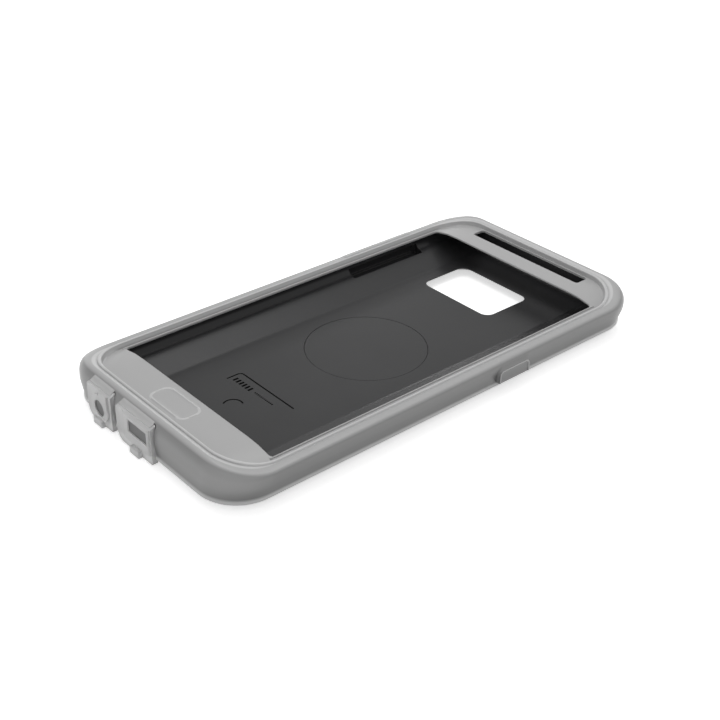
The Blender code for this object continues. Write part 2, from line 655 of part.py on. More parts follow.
def main():
    clear_scene()
    parts = new_collection("bicycle_phone_case")
    tools = new_collection("cutters")
    anchor = bpy.data.objects.new("case_centre", None)
    tools.objects.link(anchor)
    anchor.location = (0.0, CENTRE_Y, 0.0)
    tray = build_tray(parts, tools)
    disc = build_disc(parts, tools)
    frame = build_frame(parts, tools)
    usb, jack = build_covers(parts, tools)
    for thing in list(tools.objects) + [tray, disc, frame]:
        if thing is not anchor:
            thing.parent = anchor
    hang_on_hinge(usb, USB_X, tools, anchor)
    hang_on_hinge(jack, JACK_X, tools, anchor)
    for thing in (tray, disc, frame, usb, jack):
        thing.data.shade_smooth()
        thing.data.set_sharp_from_angle(angle=math.radians(SMOOTH_BELOW))


main()
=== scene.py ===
import math

import bmesh
import bpy
from mathutils import Matrix, Vector


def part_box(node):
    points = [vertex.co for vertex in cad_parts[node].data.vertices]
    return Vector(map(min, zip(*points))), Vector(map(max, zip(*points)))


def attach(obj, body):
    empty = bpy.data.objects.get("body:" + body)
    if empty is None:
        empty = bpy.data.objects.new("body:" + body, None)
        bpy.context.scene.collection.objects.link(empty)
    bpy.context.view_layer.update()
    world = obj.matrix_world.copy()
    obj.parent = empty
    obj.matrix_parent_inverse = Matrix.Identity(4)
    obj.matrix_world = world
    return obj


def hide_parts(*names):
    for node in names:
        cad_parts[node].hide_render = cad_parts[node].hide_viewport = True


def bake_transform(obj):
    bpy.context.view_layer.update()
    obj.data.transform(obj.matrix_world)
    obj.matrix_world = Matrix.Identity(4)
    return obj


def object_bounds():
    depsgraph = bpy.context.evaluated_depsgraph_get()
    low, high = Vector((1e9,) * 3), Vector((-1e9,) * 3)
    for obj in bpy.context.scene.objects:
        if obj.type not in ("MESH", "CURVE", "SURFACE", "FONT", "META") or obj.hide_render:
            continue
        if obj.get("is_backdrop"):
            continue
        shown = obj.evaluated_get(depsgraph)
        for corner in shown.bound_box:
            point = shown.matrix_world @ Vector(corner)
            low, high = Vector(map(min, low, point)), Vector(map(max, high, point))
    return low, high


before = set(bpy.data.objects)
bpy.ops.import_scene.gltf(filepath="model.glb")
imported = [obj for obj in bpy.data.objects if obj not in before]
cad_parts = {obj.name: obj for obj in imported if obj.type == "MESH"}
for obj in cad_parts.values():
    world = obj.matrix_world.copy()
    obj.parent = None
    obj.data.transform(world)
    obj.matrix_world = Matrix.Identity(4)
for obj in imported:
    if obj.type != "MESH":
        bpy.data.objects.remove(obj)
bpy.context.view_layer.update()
MM = 0.001

# Camera
# It looks down on the open side of the case from beyond the corner between the right
# side and the sockets, with the long lens of a product shot.
CAMERA_AZIMUTH = math.radians(48.406)
CAMERA_ELEVATION = math.radians(31.433)
CAMERA_ROLL = math.radians(1.172)
CAMERA_DISTANCE = 381.2 * MM
CAMERA_LEFT = 1.834 * MM
CAMERA_DOWN = 2.668 * MM
CAMERA_LENS = 61.93
CAMERA_SENSOR = 36.0
CAMERA_NEAR = 10.0 * MM
CAMERA_AIM = Vector((0.0, 1.1, 1.7)) * MM

back = Vector((math.sin(CAMERA_AZIMUTH) * math.cos(CAMERA_ELEVATION),
               -math.cos(CAMERA_AZIMUTH) * math.cos(CAMERA_ELEVATION),
               math.sin(CAMERA_ELEVATION)))
level = Vector((math.cos(CAMERA_AZIMUTH), math.sin(CAMERA_AZIMUTH), 0.0))
upright = back.cross(level)
across = level * math.cos(CAMERA_ROLL) + upright * math.sin(CAMERA_ROLL)
above = upright * math.cos(CAMERA_ROLL) - level * math.sin(CAMERA_ROLL)
camera_data = bpy.data.cameras.new("camera")
camera_data.lens = CAMERA_LENS
camera_data.sensor_width = CAMERA_SENSOR
camera_data.clip_start = CAMERA_NEAR
camera = bpy.data.objects.new("camera", camera_data)
bpy.context.scene.collection.objects.link(camera)
place = Matrix((across, above, back)).transposed().to_4x4()
place.translation = (CAMERA_AIM + back * CAMERA_DISTANCE
                     - across * CAMERA_LEFT - above * CAMERA_DOWN)
camera.matrix_world = place
bpy.context.scene.camera = camera

# Rear shell
# One black moulding in hard plastic: a shallow tray that the phone drops into, with a
# camera window, recesses beside the keys and openings at the sockets. Its inside has the
# fine satin grain of the mould.
CORNER_STEPS = 24
ROUND_SIDES = 160
DRUM_SIDES = 64
BRICK_EDGE_STEPS = 3
shell_low, shell_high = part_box("rear_shell")
CASE_Y = (shell_low.y + shell_high.y) / 2
TRAY_X = shell_high.x
TRAY_Y = (shell_high.y - shell_low.y) / 2
TRAY_WALL = 1.6 * MM
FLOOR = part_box("mount_disc")[1].z
CAVITY_X = TRAY_X - TRAY_WALL
CAVITY_Y = TRAY_Y - TRAY_WALL
CAVITY_CORNER = 10.4 * MM
FLOOR_FLAT = 24.6 * MM
FLOOR_CREASE = 0.6 * MM
FLOOR_RISE = 3.4 * MM
FLOOR_FILLET = 1.9 * MM
FILLET_STEPS = 8
CREASE_STEPS = 3
BACK_ROUNDING = 6.1 * MM
BACK_CURVE = ((1.0, 0.0), (0.43, 0.04), (0.13, 0.18), (0.0, 0.39))
GLASS_FLAT = 26.0 * MM
GLASS_DROP = 1.3 * MM
SCREEN_X = 35.05 * MM
SKIN = 0.7 * MM
GAP = 0.3 * MM
DECK = shell_high.z + GAP + SKIN
OUTSIDE = 100.0 * MM
WINDOW = ((-19.9 * MM, 42.7 * MM), (10.2 * MM, 62.4 * MM))
WINDOW_CORNER = 3.2 * MM
WINDOW_LAND = 0.4 * MM
WINDOW_FLARE = 4.6 * MM
DISC_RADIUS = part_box("mount_disc")[1].x
DISC_RIM = 1.3 * MM
DISC_STEP = 1.75 * MM
SEAT_LINE = 0.035 * MM
SOCKET_HEIGHT = FLOOR + 3.85 * MM
SOCKET_REACH = 3.0 * MM
USB_HOLE = (13.0 * MM, 6.4 * MM)
USB_HOLE_ROUNDING = 0.4 * MM
JACK_X = -18.8 * MM
JACK_HOLE_RADIUS = 3.9 * MM
POCKET_DEPTH = 0.9 * MM
POCKET_LOW = 1.2 * MM
POCKET_HEIGHT = 3.4 * MM
POCKET_STEP = 1.5 * MM
POCKET_SLANT = 3
POCKET_ROUNDING = 0.25 * MM
POWER_KEY = (15.3 * MM, 28.2 * MM)
VOLUME_KEY = (24.0 * MM, 55.0 * MM)
LINE_WIDTH = 0.5 * MM
LINE_DEPTH = 0.5 * MM
LABEL_WIDTH = 25.0 * MM
LABEL_TOP_Y = -38.2 * MM
LABEL_DROP = 5.2 * MM
LABEL_CORNER = 1.2 * MM
LABEL_CORNER_STEPS = 8
BAR_LENGTH = 8.6 * MM
BAR_SPACE = 1.3 * MM
STROKES = ((6, (0.8 * MM, 1.9 * MM)), (12, (0.45 * MM, 0.6 * MM)))
STROKE_DEPTH = 0.6 * MM
STROKE_CORNER = 0.12 * MM
BAR_Y = -41.6 * MM
ARC_Y = -50.3 * MM
ARC_RADIUS = 2.9 * MM
ARC_START = 66.0
ARC_SWEEP = 150.0
ARC_STEPS = 24
MOULD_EDGE = 0.15 * MM
MOULD_EDGE_STEPS = 2
SHARP_ANGLE = 38.0
BLACK = (0.022, 0.022, 0.023)
BLACK_ROUGHNESS = 0.3
BLACK_SHEEN = 0.24
BLACK_GRAIN_SIZE = 0.35 * MM
BLACK_GRAIN_DEPTH = 0.010 * MM
BLACK_TONE_SPREAD = 0.25


def even_shares(count):
    """Places that divide a straight run evenly."""
    return [(i + 1) / (count + 1) for i in range(count)]


def ring(half_x, half_y, radius, side_z, end_z, middle=(0.0, 0.0), along_ends=(),
         along_sides=()):
    """Points round a rounded rectangle, whose height passes from the sides to the ends."""
    points = []
    for quarter, (sign_x, sign_y) in enumerate(((1, 1), (-1, 1), (-1, -1), (1, -1))):
        for step in range(CORNER_STEPS + 1):
            angle = math.radians(90.0 * (quarter + step / CORNER_STEPS))
            x = middle[0] + sign_x * (half_x - radius) + radius * math.cos(angle)
            y = middle[1] + sign_y * (half_y - radius) + radius * math.sin(angle)
            z = side_z * math.cos(angle) ** 2 + end_z * math.sin(angle) ** 2
            points.append(Vector((x, y, z)))
    corners = CORNER_STEPS + 1
    spaced = []
    for quarter in range(4):
        arc = points[quarter * corners:(quarter + 1) * corners]
        ahead = points[(quarter + 1) * corners % len(points)]
        shares = along_sides if quarter % 2 else along_ends
        spaced += arc + [arc[-1].lerp(ahead, share) for share in shares]
    return spaced


def follow(points, height):
    """The same ring with each point at a height that depends on x alone."""
    return [Vector((p.x, p.y, height(p.x))) for p in points]


def deck_height(x):
    """The soft frame's face over the glass, which curves down at both long sides."""
    over = max(0.0, abs(x) - GLASS_FLAT) / (SCREEN_X - GLASS_FLAT)
    return DECK - GLASS_DROP * over ** 2


def floor_height(x):
    """The tray's floor: flat along its middle, with a soft crease where each side slopes up."""
    over = abs(x) - FLOOR_FLAT
    if over < -FLOOR_CREASE:
        return FLOOR
    slope = FLOOR_RISE / (CAVITY_X - FLOOR_FLAT)
    if over > FLOOR_CREASE:
        return FLOOR + slope * over
    return FLOOR + slope * (over + FLOOR_CREASE) ** 2 / (4 * FLOOR_CREASE)


def finish_mesh(name, body):
    """A named object from a bmesh, with its faces turned outwards."""
    bmesh.ops.recalc_face_normals(body, faces=body.faces)
    mesh = bpy.data.meshes.new(name)
    body.to_mesh(mesh)
    body.free()
    piece = bpy.data.objects.new(name, mesh)
    bpy.context.scene.collection.objects.link(piece)
    return piece


def skin_rings(name, rings, closed=False):
    """A skin through rings: capped at both ends, or closed into a hoop."""
    body = bmesh.new()
    rows = [[body.verts.new(point) for point in row] for row in rings]
    pairs = list(zip(rows, rows[1:]))
    if closed:
        pairs.append((rows[-1], rows[0]))
    for low, high in pairs:
        for i in range(len(low)):
            j = (i + 1) % len(low)
            body.faces.new((low[i], low[j], high[j], high[i]))
    if not closed:
        last = len(rows[0]) - 1
        for row, turned in ((rows[0], True), (rows[-1], False)):
            for i in range(len(row) // 2 - 1):
                strip = [row[i], row[i + 1], row[last - i - 1], row[last - i]]
                body.faces.new(strip[::-1] if turned else strip)
    return finish_mesh(name, body)


def slab(name, half_x, half_y, radius, low, high, middle=(0.0, 0.0)):
    """An upright block with a rounded rectangle for its plan."""
    return skin_rings(name, [ring(half_x, half_y, radius, z, z, middle) for z in (low, high)])


def brick(name, lows, highs, rounding=0.0):
    """A box between two corners with rounded edges."""
    body = bmesh.new()
    bmesh.ops.create_cube(body, size=1.0)
    lows, highs = Vector(lows), Vector(highs)
    bmesh.ops.scale(body, vec=highs - lows, verts=body.verts)
    bmesh.ops.translate(body, vec=(highs + lows) / 2, verts=body.verts)
    if rounding:
        bmesh.ops.bevel(body, geom=list(body.edges), offset=rounding,
                        segments=BRICK_EDGE_STEPS, profile=0.5, affect="EDGES")
    return finish_mesh(name, body)


def drum(name, radius, start, end, x, z):
    """A round block that lies along the case."""
    body = bmesh.new()
    turn = Matrix.Translation((x, (start + end) / 2, z)) @ Matrix.Rotation(math.pi / 2, 4, "X")
    bmesh.ops.create_cone(body, cap_ends=True, segments=DRUM_SIDES, radius1=radius,
                          radius2=radius, depth=abs(end - start), matrix=turn)
    return finish_mesh(name, body)


def round_section(radius, sides=10):
    """Points round a circle, as a bead's section."""
    turns = [2 * math.pi * k / sides for k in range(sides)]
    return [(radius * math.cos(turn), radius * math.sin(turn)) for turn in turns]


def bead(name, points, section, closed, facing=(0.0, 0.0, 1.0)):
    """A bead along a line of points that lies in one plane, with flat ends."""
    body = bmesh.new()
    rows = []
    count = len(points)
    upward = Vector(facing)
    for i, point in enumerate(points):
        before = points[i - 1] if closed or i else point
        after = points[(i + 1) % count] if closed or i < count - 1 else point
        along = (Vector(after) - Vector(before)).normalized()
        beside = along.cross(upward)
        rows.append([body.verts.new(Vector(point) + beside * side + upward * up)
                     for side, up in section])
    for low, high in zip(rows, rows[1:] + rows[:1] if closed else rows[1:]):
        for k in range(len(section)):
            j = (k + 1) % len(section)
            body.faces.new((low[k], low[j], high[j], high[k]))
    if not closed:
        body.faces.new(rows[0])
        body.faces.new(rows[-1])
    return finish_mesh(name, body)


def work(piece, steps):
    """Cut shapes out of a piece or melt them on, and keep only the finished mesh."""
    for way, tool in steps:
        step = piece.modifiers.new(tool.name, "BOOLEAN")
        step.operation = way
        step.object = tool
        step.solver = "EXACT"
    seen = piece.evaluated_get(bpy.context.evaluated_depsgraph_get())
    mesh = bpy.data.meshes.new_from_object(seen)
    piece.modifiers.clear()
    piece.data = mesh
    for _, tool in steps:
        bpy.data.objects.remove(tool, do_unlink=True)


def ease(piece, width, angle=SHARP_ANGLE):
    """Round the sharp edges as a mould does, and shade the rest smooth."""
    piece.data.shade_smooth()
    piece.data.set_sharp_from_angle(angle=math.radians(angle))
    if width:
        rounding = piece.modifiers.new("rounding", "BEVEL")
        rounding.width = width
        rounding.segments = MOULD_EDGE_STEPS
        rounding.limit_method = "ANGLE"
        rounding.angle_limit = math.radians(angle)
    shading = piece.modifiers.new("even_shading", "WEIGHTED_NORMAL")
    shading.keep_sharp = True
    piece.location.y = CASE_Y


def soften(rows, share=0.22, times=2):
    """A profile with its corners cut back, a given number of times, which leaves them round."""
    for _ in range(times):
        cut = [rows[0]]
        for first, second in zip(rows, rows[1:]):
            for part in (share, 1.0 - share):
                cut.append(tuple(a + (b - a) * part for a, b in zip(first, second)))
        rows = cut + [rows[-1]]
    return rows


def grain_group():
    """Moulded grain: a fine pitted surface with faint cloudy patches of tone and gloss."""
    group = bpy.data.node_groups.new("moulded_grain", "ShaderNodeTree")
    for name, kind, value in (("Color", "NodeSocketColor", (0.5, 0.5, 0.5, 1.0)),
                              ("Tone Spread", "NodeSocketFloat", 0.1),
                              ("Roughness", "NodeSocketFloat", 0.5),
                              ("Gloss Spread", "NodeSocketFloat", 0.08),
                              ("Grain Size", "NodeSocketFloat", 0.3 * MM),
                              ("Patch Size", "NodeSocketFloat", 12.0 * MM)):
        socket = group.interface.new_socket(name, in_out="INPUT", socket_type=kind)
        socket.default_value = value
    for name, kind in (("Color", "NodeSocketColor"), ("Roughness", "NodeSocketFloat"),
                       ("Height", "NodeSocketFloat")):
        group.interface.new_socket(name, in_out="OUTPUT", socket_type=kind)
    nodes, links = group.nodes, group.links
    given = nodes.new("NodeGroupInput")
    result = nodes.new("NodeGroupOutput")
    place = nodes.new("ShaderNodeTexCoord")

    def noise(size_socket, detail):
        scale = nodes.new("ShaderNodeMath")
        scale.operation = "DIVIDE"
        scale.inputs[0].default_value = 1.0
        links.new(given.outputs[size_socket], scale.inputs[1])
        pattern = nodes.new("ShaderNodeTexNoise")
        pattern.inputs["Detail"].default_value = detail
        links.new(place.outputs["Object"], pattern.inputs["Vector"])
        links.new(scale.outputs[0], pattern.inputs["Scale"])
        return pattern.outputs[0]

    def spread(source, amount_socket, centre_link=None):
        swing = nodes.new("ShaderNodeMath")
        swing.operation = "SUBTRACT"
        swing.inputs[1].default_value = NOISE_MIDDLE
        links.new(source, swing.inputs[0])
        scaled = nodes.new("ShaderNodeMath")
        scaled.operation = "MULTIPLY_ADD"
        links.new(swing.outputs[0], scaled.inputs[0])
        links.new(given.outputs[amount_socket], scaled.inputs[1])
        if centre_link:
            links.new(centre_link, scaled.inputs[2])
        else:
            scaled.inputs[2].default_value = 1.0
        return scaled.outputs[0]

    fine = noise("Grain Size", FINE_DETAIL)
    cloud = noise("Patch Size", CLOUD_DETAIL)
    tone = nodes.new("ShaderNodeVectorMath")
    tone.operation = "SCALE"
    links.new(given.outputs["Color"], tone.inputs[0])
    links.new(spread(cloud, "Tone Spread"), tone.inputs["Scale"])
    links.new(tone.outputs[0], result.inputs["Color"])
    links.new(spread(cloud, "Gloss Spread", given.outputs["Roughness"]), result.inputs["Roughness"])
    links.new(fine, result.inputs["Height"])
    return group


NOISE_MIDDLE = 0.5
FINE_DETAIL = 2.0
CLOUD_DETAIL = 3.0
GRAIN = grain_group()


def plastic(name, colour, roughness, grain_size, grain_depth, tone_spread):
    """A moulded plastic with the grain of its mould: the material, its shader and grain nodes."""
    finish = bpy.data.materials.new(name)
    finish.use_nodes = True
    nodes, links = finish.node_tree.nodes, finish.node_tree.links
    shader = nodes["Principled BSDF"]
    grain = nodes.new("ShaderNodeGroup")
    grain.node_tree = GRAIN
    grain.inputs["Color"].default_value = (*colour, 1.0)
    grain.inputs["Tone Spread"].default_value = tone_spread
    grain.inputs["Roughness"].default_value = roughness
    grain.inputs["Grain Size"].default_value = grain_size
    bump = nodes.new("ShaderNodeBump")
    bump.inputs["Strength"].default_value = 1.0
    bump.inputs["Distance"].default_value = grain_depth
    links.new(grain.outputs["Color"], shader.inputs["Base Color"])
    links.new(grain.outputs["Roughness"], shader.inputs["Roughness"])
    links.new(grain.outputs["Height"], bump.inputs["Height"])
    links.new(bump.outputs["Normal"], shader.inputs["Normal"])
    return finish, shader, grain


back_rows = soften([(TRAY_X - a * BACK_ROUNDING, TRAY_Y - a * BACK_ROUNDING,
                     CAVITY_CORNER + TRAY_WALL - a * BACK_ROUNDING * 2 / 3, b * BACK_ROUNDING)
                    for a, b in BACK_CURVE])
tray_rings = [ring(x, y, corner, z, z) for x, y, corner, z in back_rows]
tray_rings.append(follow(ring(TRAY_X, TRAY_Y, CAVITY_CORNER + TRAY_WALL, 0.0, 0.0),
                         lambda x: deck_height(x) - SKIN - GAP))
tray = skin_rings("tray", tray_rings)

crease_steps = [FLOOR_FLAT + FLOOR_CREASE * step / CREASE_STEPS
                for step in range(CREASE_STEPS, -CREASE_STEPS - 1, -1)]
end_straight = CAVITY_X - CAVITY_CORNER
floor_lines = [(end_straight - x) / (2 * end_straight)
               for x in crease_steps + [-x for x in reversed(crease_steps)]]
phone_rings = []
for step in range(FILLET_STEPS + 1):
    turn = math.pi / 2 * step / FILLET_STEPS
    inset = FLOOR_FILLET * (1.0 - math.sin(turn))
    lift = FLOOR_FILLET * (1.0 - math.cos(turn))
    edge = ring(CAVITY_X - inset, CAVITY_Y - inset, CAVITY_CORNER - inset, 0.0, 0.0,
                along_ends=floor_lines)
    phone_rings.append(follow(edge, lambda x, lift=lift: floor_height(x) + lift))
phone_rings.append(ring(CAVITY_X, CAVITY_Y, CAVITY_CORNER, 2 * DECK, 2 * DECK,
                        along_ends=floor_lines))
cuts = [("DIFFERENCE", skin_rings("phone_space", phone_rings))]

(left, bottom), (right, top) = WINDOW
window_middle = ((left + right) / 2, (bottom + top) / 2)
window_x, window_y = (right - left) / 2, (top - bottom) / 2
land = FLOOR - WINDOW_LAND
window_rings = [ring(window_x + 2 * WINDOW_FLARE, window_y + 2 * WINDOW_FLARE,
                     WINDOW_CORNER + 2 * WINDOW_FLARE, -land, -land, window_middle)]
window_rings += [ring(window_x, window_y, WINDOW_CORNER, z, z, window_middle)
                 for z in (land, 2 * FLOOR)]
cuts.append(("DIFFERENCE", skin_rings("window", window_rings)))

for name, radius, low in (("disc_seat", DISC_RADIUS + SEAT_LINE, FLOOR - DISC_RIM - GAP),
                          ("disc_hole", DISC_RADIUS - DISC_STEP + GAP, -FLOOR)):
    body = bmesh.new()
    middle = Matrix.Translation((0.0, 0.0, (low + 2 * FLOOR) / 2))
    bmesh.ops.create_cone(body, cap_ends=True, segments=ROUND_SIDES, radius1=radius,
                          radius2=radius, depth=2 * FLOOR - low, matrix=middle)
    cuts.append(("DIFFERENCE", finish_mesh(name, body)))

for name, side, (start, end) in (("power_pocket", 1, POWER_KEY),
                                 ("volume_pocket", -1, VOLUME_KEY)):
    for ledge, depth, inset in (("deep", POCKET_DEPTH, POCKET_STEP),
                                ("ledge", POCKET_DEPTH / 2, 0.0)):
        near, far = sorted((side * (CAVITY_X - POCKET_HEIGHT), side * (CAVITY_X + depth)))
        low = FLOOR + POCKET_LOW
        lift = inset / POCKET_SLANT
        cuts.append(("DIFFERENCE", brick(f"{name}_{ledge}", (near, start + inset, low + lift),
                                         (far, end - inset, low + POCKET_HEIGHT - lift),
                                         POCKET_ROUNDING)))
inner_end = -CAVITY_Y + SOCKET_REACH
cuts.append(("DIFFERENCE", brick("usb_opening", (-USB_HOLE[0] / 2, -OUTSIDE,
                                                 SOCKET_HEIGHT - USB_HOLE[1] / 2),
                                 (USB_HOLE[0] / 2, inner_end, SOCKET_HEIGHT + USB_HOLE[1] / 2),
                                 USB_HOLE_ROUNDING)))
cuts.append(("DIFFERENCE", drum("jack_opening", JACK_HOLE_RADIUS, -OUTSIDE, inner_end,
                                JACK_X, SOCKET_HEIGHT)))

label_left = -LABEL_WIDTH / 2
line = [(label_left, LABEL_TOP_Y - LABEL_DROP, FLOOR)]
for step in range(LABEL_CORNER_STEPS + 1):
    angle = math.pi - math.pi / 2 * step / LABEL_CORNER_STEPS
    line.append((label_left + LABEL_CORNER * (1.0 + math.cos(angle)),
                 LABEL_TOP_Y - LABEL_CORNER * (1.0 - math.sin(angle)), FLOOR))
line.append((-label_left, LABEL_TOP_Y, FLOOR))
groove = [(-LINE_WIDTH / 2, -LINE_DEPTH), (LINE_WIDTH / 2, -LINE_DEPTH),
          (LINE_WIDTH / 2, LINE_DEPTH), (-LINE_WIDTH / 2, LINE_DEPTH)]
cuts.append(("DIFFERENCE", bead("label_line", line, groove, False)))
for row, (count, size) in enumerate(STROKES):
    pitch = BAR_LENGTH / count
    start = label_left + LABEL_CORNER + row * (BAR_LENGTH + BAR_SPACE)
    for i in range(count):
        cuts.append(("DIFFERENCE", slab(f"stroke_{row}_{i}", size[0] / 2, size[1] / 2,
                                        STROKE_CORNER, FLOOR - STROKE_DEPTH, 2 * FLOOR,
                                        (start + pitch * (i + 0.5), BAR_Y))))
arc = []
for step in range(ARC_STEPS + 1):
    angle = math.radians(ARC_START + ARC_SWEEP * step / ARC_STEPS)
    arc.append((ARC_RADIUS * math.cos(angle), ARC_Y + ARC_RADIUS * math.sin(angle), FLOOR))
cuts.append(("DIFFERENCE", bead("moulding_arc", arc, groove, False)))
work(tray, cuts)
ease(tray, MOULD_EDGE)
black, black_shader, _ = plastic("black_hard_plastic", BLACK, BLACK_ROUGHNESS,
                                 BLACK_GRAIN_SIZE, BLACK_GRAIN_DEPTH, BLACK_TONE_SPREAD)
black_shader.inputs["Specular IOR Level"].default_value = BLACK_SHEEN
tray.data.materials.clear()
tray.data.materials.append(black)
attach(tray, "case")
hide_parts("rear_shell")

# Twist-lock disc
# A round black insert pressed into the floor, flush on the phone's side. Its back holds
# the socket that turns on to a handlebar mount, with three slots for the mount's lugs.
SOCKET_RADIUS = 14.6 * MM
SOCKET_DEPTH = 2.2 * MM
SOCKET_LIP = 0.8 * MM
SOCKET_LIP_REACH = 2.0 * MM
LUG_WIDTH = 8.0 * MM
DISC_EDGE = 0.15 * MM
LUG_COUNT = 3
LUG_INSIDE = 3.0 * MM
LUG_BELOW = 1.0 * MM
LUG_SHORT = 0.2 * MM
LUG_ABOVE = 0.4 * MM
MERGE_WITHIN = 0.001 * MM
DISC_BLACK = (0.0225, 0.0225, 0.0235)

neck = DISC_RADIUS - DISC_STEP
mouth = SOCKET_RADIUS - SOCKET_LIP_REACH
profile = [(0.0, FLOOR), (DISC_RADIUS - DISC_EDGE, FLOOR), (DISC_RADIUS, FLOOR - DISC_EDGE),
           (DISC_RADIUS, FLOOR - DISC_RIM), (neck, FLOOR - DISC_RIM), (neck, DISC_EDGE),
           (neck - DISC_EDGE, 0.0), (mouth + DISC_EDGE, 0.0), (mouth, DISC_EDGE),
           (mouth, SOCKET_LIP), (SOCKET_RADIUS, SOCKET_LIP), (SOCKET_RADIUS, SOCKET_DEPTH),
           (0.0, SOCKET_DEPTH)]
body = bmesh.new()
turned = [body.verts.new((r, 0.0, z)) for r, z in profile]
edges = [body.edges.new(pair) for pair in zip(turned, turned[1:])]
bmesh.ops.spin(body, geom=turned + edges, cent=(0, 0, 0), axis=(0, 0, 1), angle=2 * math.pi,
               steps=ROUND_SIDES, use_merge=True)
bmesh.ops.remove_doubles(body, verts=body.verts, dist=MERGE_WITHIN)
disc = finish_mesh("lock_disc", body)
slots = []
for i in range(LUG_COUNT):
    slot = brick(f"lug_slot_{i}", (mouth - LUG_INSIDE, -LUG_WIDTH / 2, -LUG_BELOW),
                 (SOCKET_RADIUS - LUG_SHORT, LUG_WIDTH / 2, SOCKET_LIP + LUG_ABOVE))
    slot.data.transform(Matrix.Rotation(2 * math.pi * i / LUG_COUNT, 4, "Z"))
    slots.append(("DIFFERENCE", slot))
work(disc, slots)
ease(disc, 0.0)
disc_black, disc_shader, _ = plastic("black_disc_plastic", DISC_BLACK, BLACK_ROUGHNESS,
                                     BLACK_GRAIN_SIZE, BLACK_GRAIN_DEPTH, BLACK_TONE_SPREAD)
disc_shader.inputs["Specular IOR Level"].default_value = BLACK_SHEEN
disc.data.materials.clear()
disc.data.materials.append(disc_black)
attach(disc, "case")
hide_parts("mount_disc")

# Rain frame
# One moulding in soft frosted plastic that stretches over the tray: a beaded foot, a rim
# round the glass, thin bands over both ends of the phone, bumps over the keys, the
# outline of the home button and a slot for the earpiece.
frame_low, frame_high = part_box("rain_frame")
SIDE_MARGIN = 0.75 * MM
SIDE_X = frame_high.x - SIDE_MARGIN
END_Y = (frame_high.y - frame_low.y) / 2
BORE_X = TRAY_X + GAP
BORE_Y = TRAY_Y + GAP
BORE_CORNER = CAVITY_CORNER + TRAY_WALL + GAP
RIM_CORNER = 12.8 * MM
FOOT = frame_low.z
SCREEN_Y = 63.35 * MM
SCREEN_CORNER = 1.2 * MM
SCREEN_EDGE = 0.18 * MM
SIDE_RIDGE = DECK - GLASS_DROP + 0.8 * MM
END_RIDGE = DECK + 1.65 * MM
RIDGE_IN = (0.75 * MM, 1.75 * MM)
RIM_BEAD = 0.42 * MM
RIM_BEAD_STEPS = 10
RIM_BEAD_SINK = 0.8
DECK_STEPS = 10
SPEAKER = (47.0 * MM, 5.1 * MM)
SPEAKER_Y = 72.3 * MM
SPEAKER_CORNER = 1.0 * MM
HOME = (16.4 * MM, 7.0 * MM)
HOME_Y = -69.3 * MM
HOME_BEAD = 0.8 * MM
HOME_LIFT = 0.16 * MM
HOME_CORNER = 2.3 * MM
HOME_ROOT = 1.5
HOME_CROWN = 0.8
SIDE_LIP_WIDTH = 0.6 * MM
SIDE_LIP_BACK = 0.05 * MM
SIDE_LIP_SIDES = 12
KEY_PROUD = 0.45 * MM
KEY_FACE = 5.5 * MM
KEY_LIFT = 0.3 * MM
KEY_SHOULDER = 0.5 * MM
KEY_ROUNDING = 0.6 * MM
KEY_END_ROUNDING = 1.1 * MM
KEY_ROOT = 0.5 * MM
KEY_OUTLINE_CORNER = 1.3 * MM
KEY_INSET = 0.45 * MM
KEY_LINE = 0.3 * MM
KEY_LINE_SINK = 0.08 * MM
KEY_LINE_STEPS = 6
PLATE_EDGE_STEPS = 5
STRAIGHTS = even_shares(15)

ridge_x = BORE_X - RIDGE_IN[0]
ridge_y = BORE_Y - RIDGE_IN[1]
# Each row: half width, half length, height along the sides, height along the ends
outer_rows = soften([
    (SIDE_X - 2.1 * MM, END_Y - 0.8 * MM, FOOT, FOOT),
    (SIDE_X - 1.45 * MM, END_Y - 0.1 * MM, FOOT + 0.45 * MM, FOOT + 0.45 * MM),
    (SIDE_X - 1.45 * MM, END_Y - 0.1 * MM, FOOT + 1.0 * MM, FOOT + 1.0 * MM),
    (SIDE_X - 1.65 * MM, END_Y - 0.35 * MM, FOOT + 1.5 * MM, FOOT + 1.5 * MM),
    (SIDE_X - 0.9 * MM, END_Y - 0.15 * MM, FOOT + 3.9 * MM, FOOT + 3.9 * MM),
    (SIDE_X - 0.2 * MM, END_Y, FOOT + 6.2 * MM, FOOT + 6.4 * MM),
    (SIDE_X, END_Y - 0.35 * MM, SIDE_RIDGE - 1.5 * MM, END_RIDGE - 2.2 * MM),
    (SIDE_X - 0.15 * MM, END_Y - 1.2 * MM, SIDE_RIDGE - 0.9 * MM, END_RIDGE - 0.75 * MM),
    (SIDE_X - 0.75 * MM, END_Y - 2.4 * MM, SIDE_RIDGE - 0.5 * MM, END_RIDGE + 0.2 * MM),
    (SIDE_X - 1.9 * MM, END_Y - 3.6 * MM, SIDE_RIDGE - 0.4 * MM, END_RIDGE + 0.1 * MM),
    (ridge_x + 1.2 * RIM_BEAD, ridge_y + 1.2 * RIM_BEAD,
     SIDE_RIDGE - RIM_BEAD, END_RIDGE - RIM_BEAD),
])
for step in range(RIM_BEAD_STEPS + 1):
    turn = math.pi * step / RIM_BEAD_STEPS
    out, up = RIM_BEAD * math.cos(turn), RIM_BEAD * (math.sin(turn) - RIM_BEAD_SINK)
    outer_rows.append((ridge_x + out, ridge_y + out, SIDE_RIDGE + up, END_RIDGE + up))
outer_rows.append((ridge_x - 1.6 * RIM_BEAD, ridge_y - 1.6 * RIM_BEAD,
                   SIDE_RIDGE - 1.9 * RIM_BEAD, DECK + 0.15 * MM))


def frame_ring(half_x, half_y, corner, side_z=0.0, end_z=0.0):
    """A ring of the soft frame, which has points along its straights too."""
    return ring(half_x, half_y, corner, side_z, end_z, (0.0, 0.0), STRAIGHTS, STRAIGHTS)


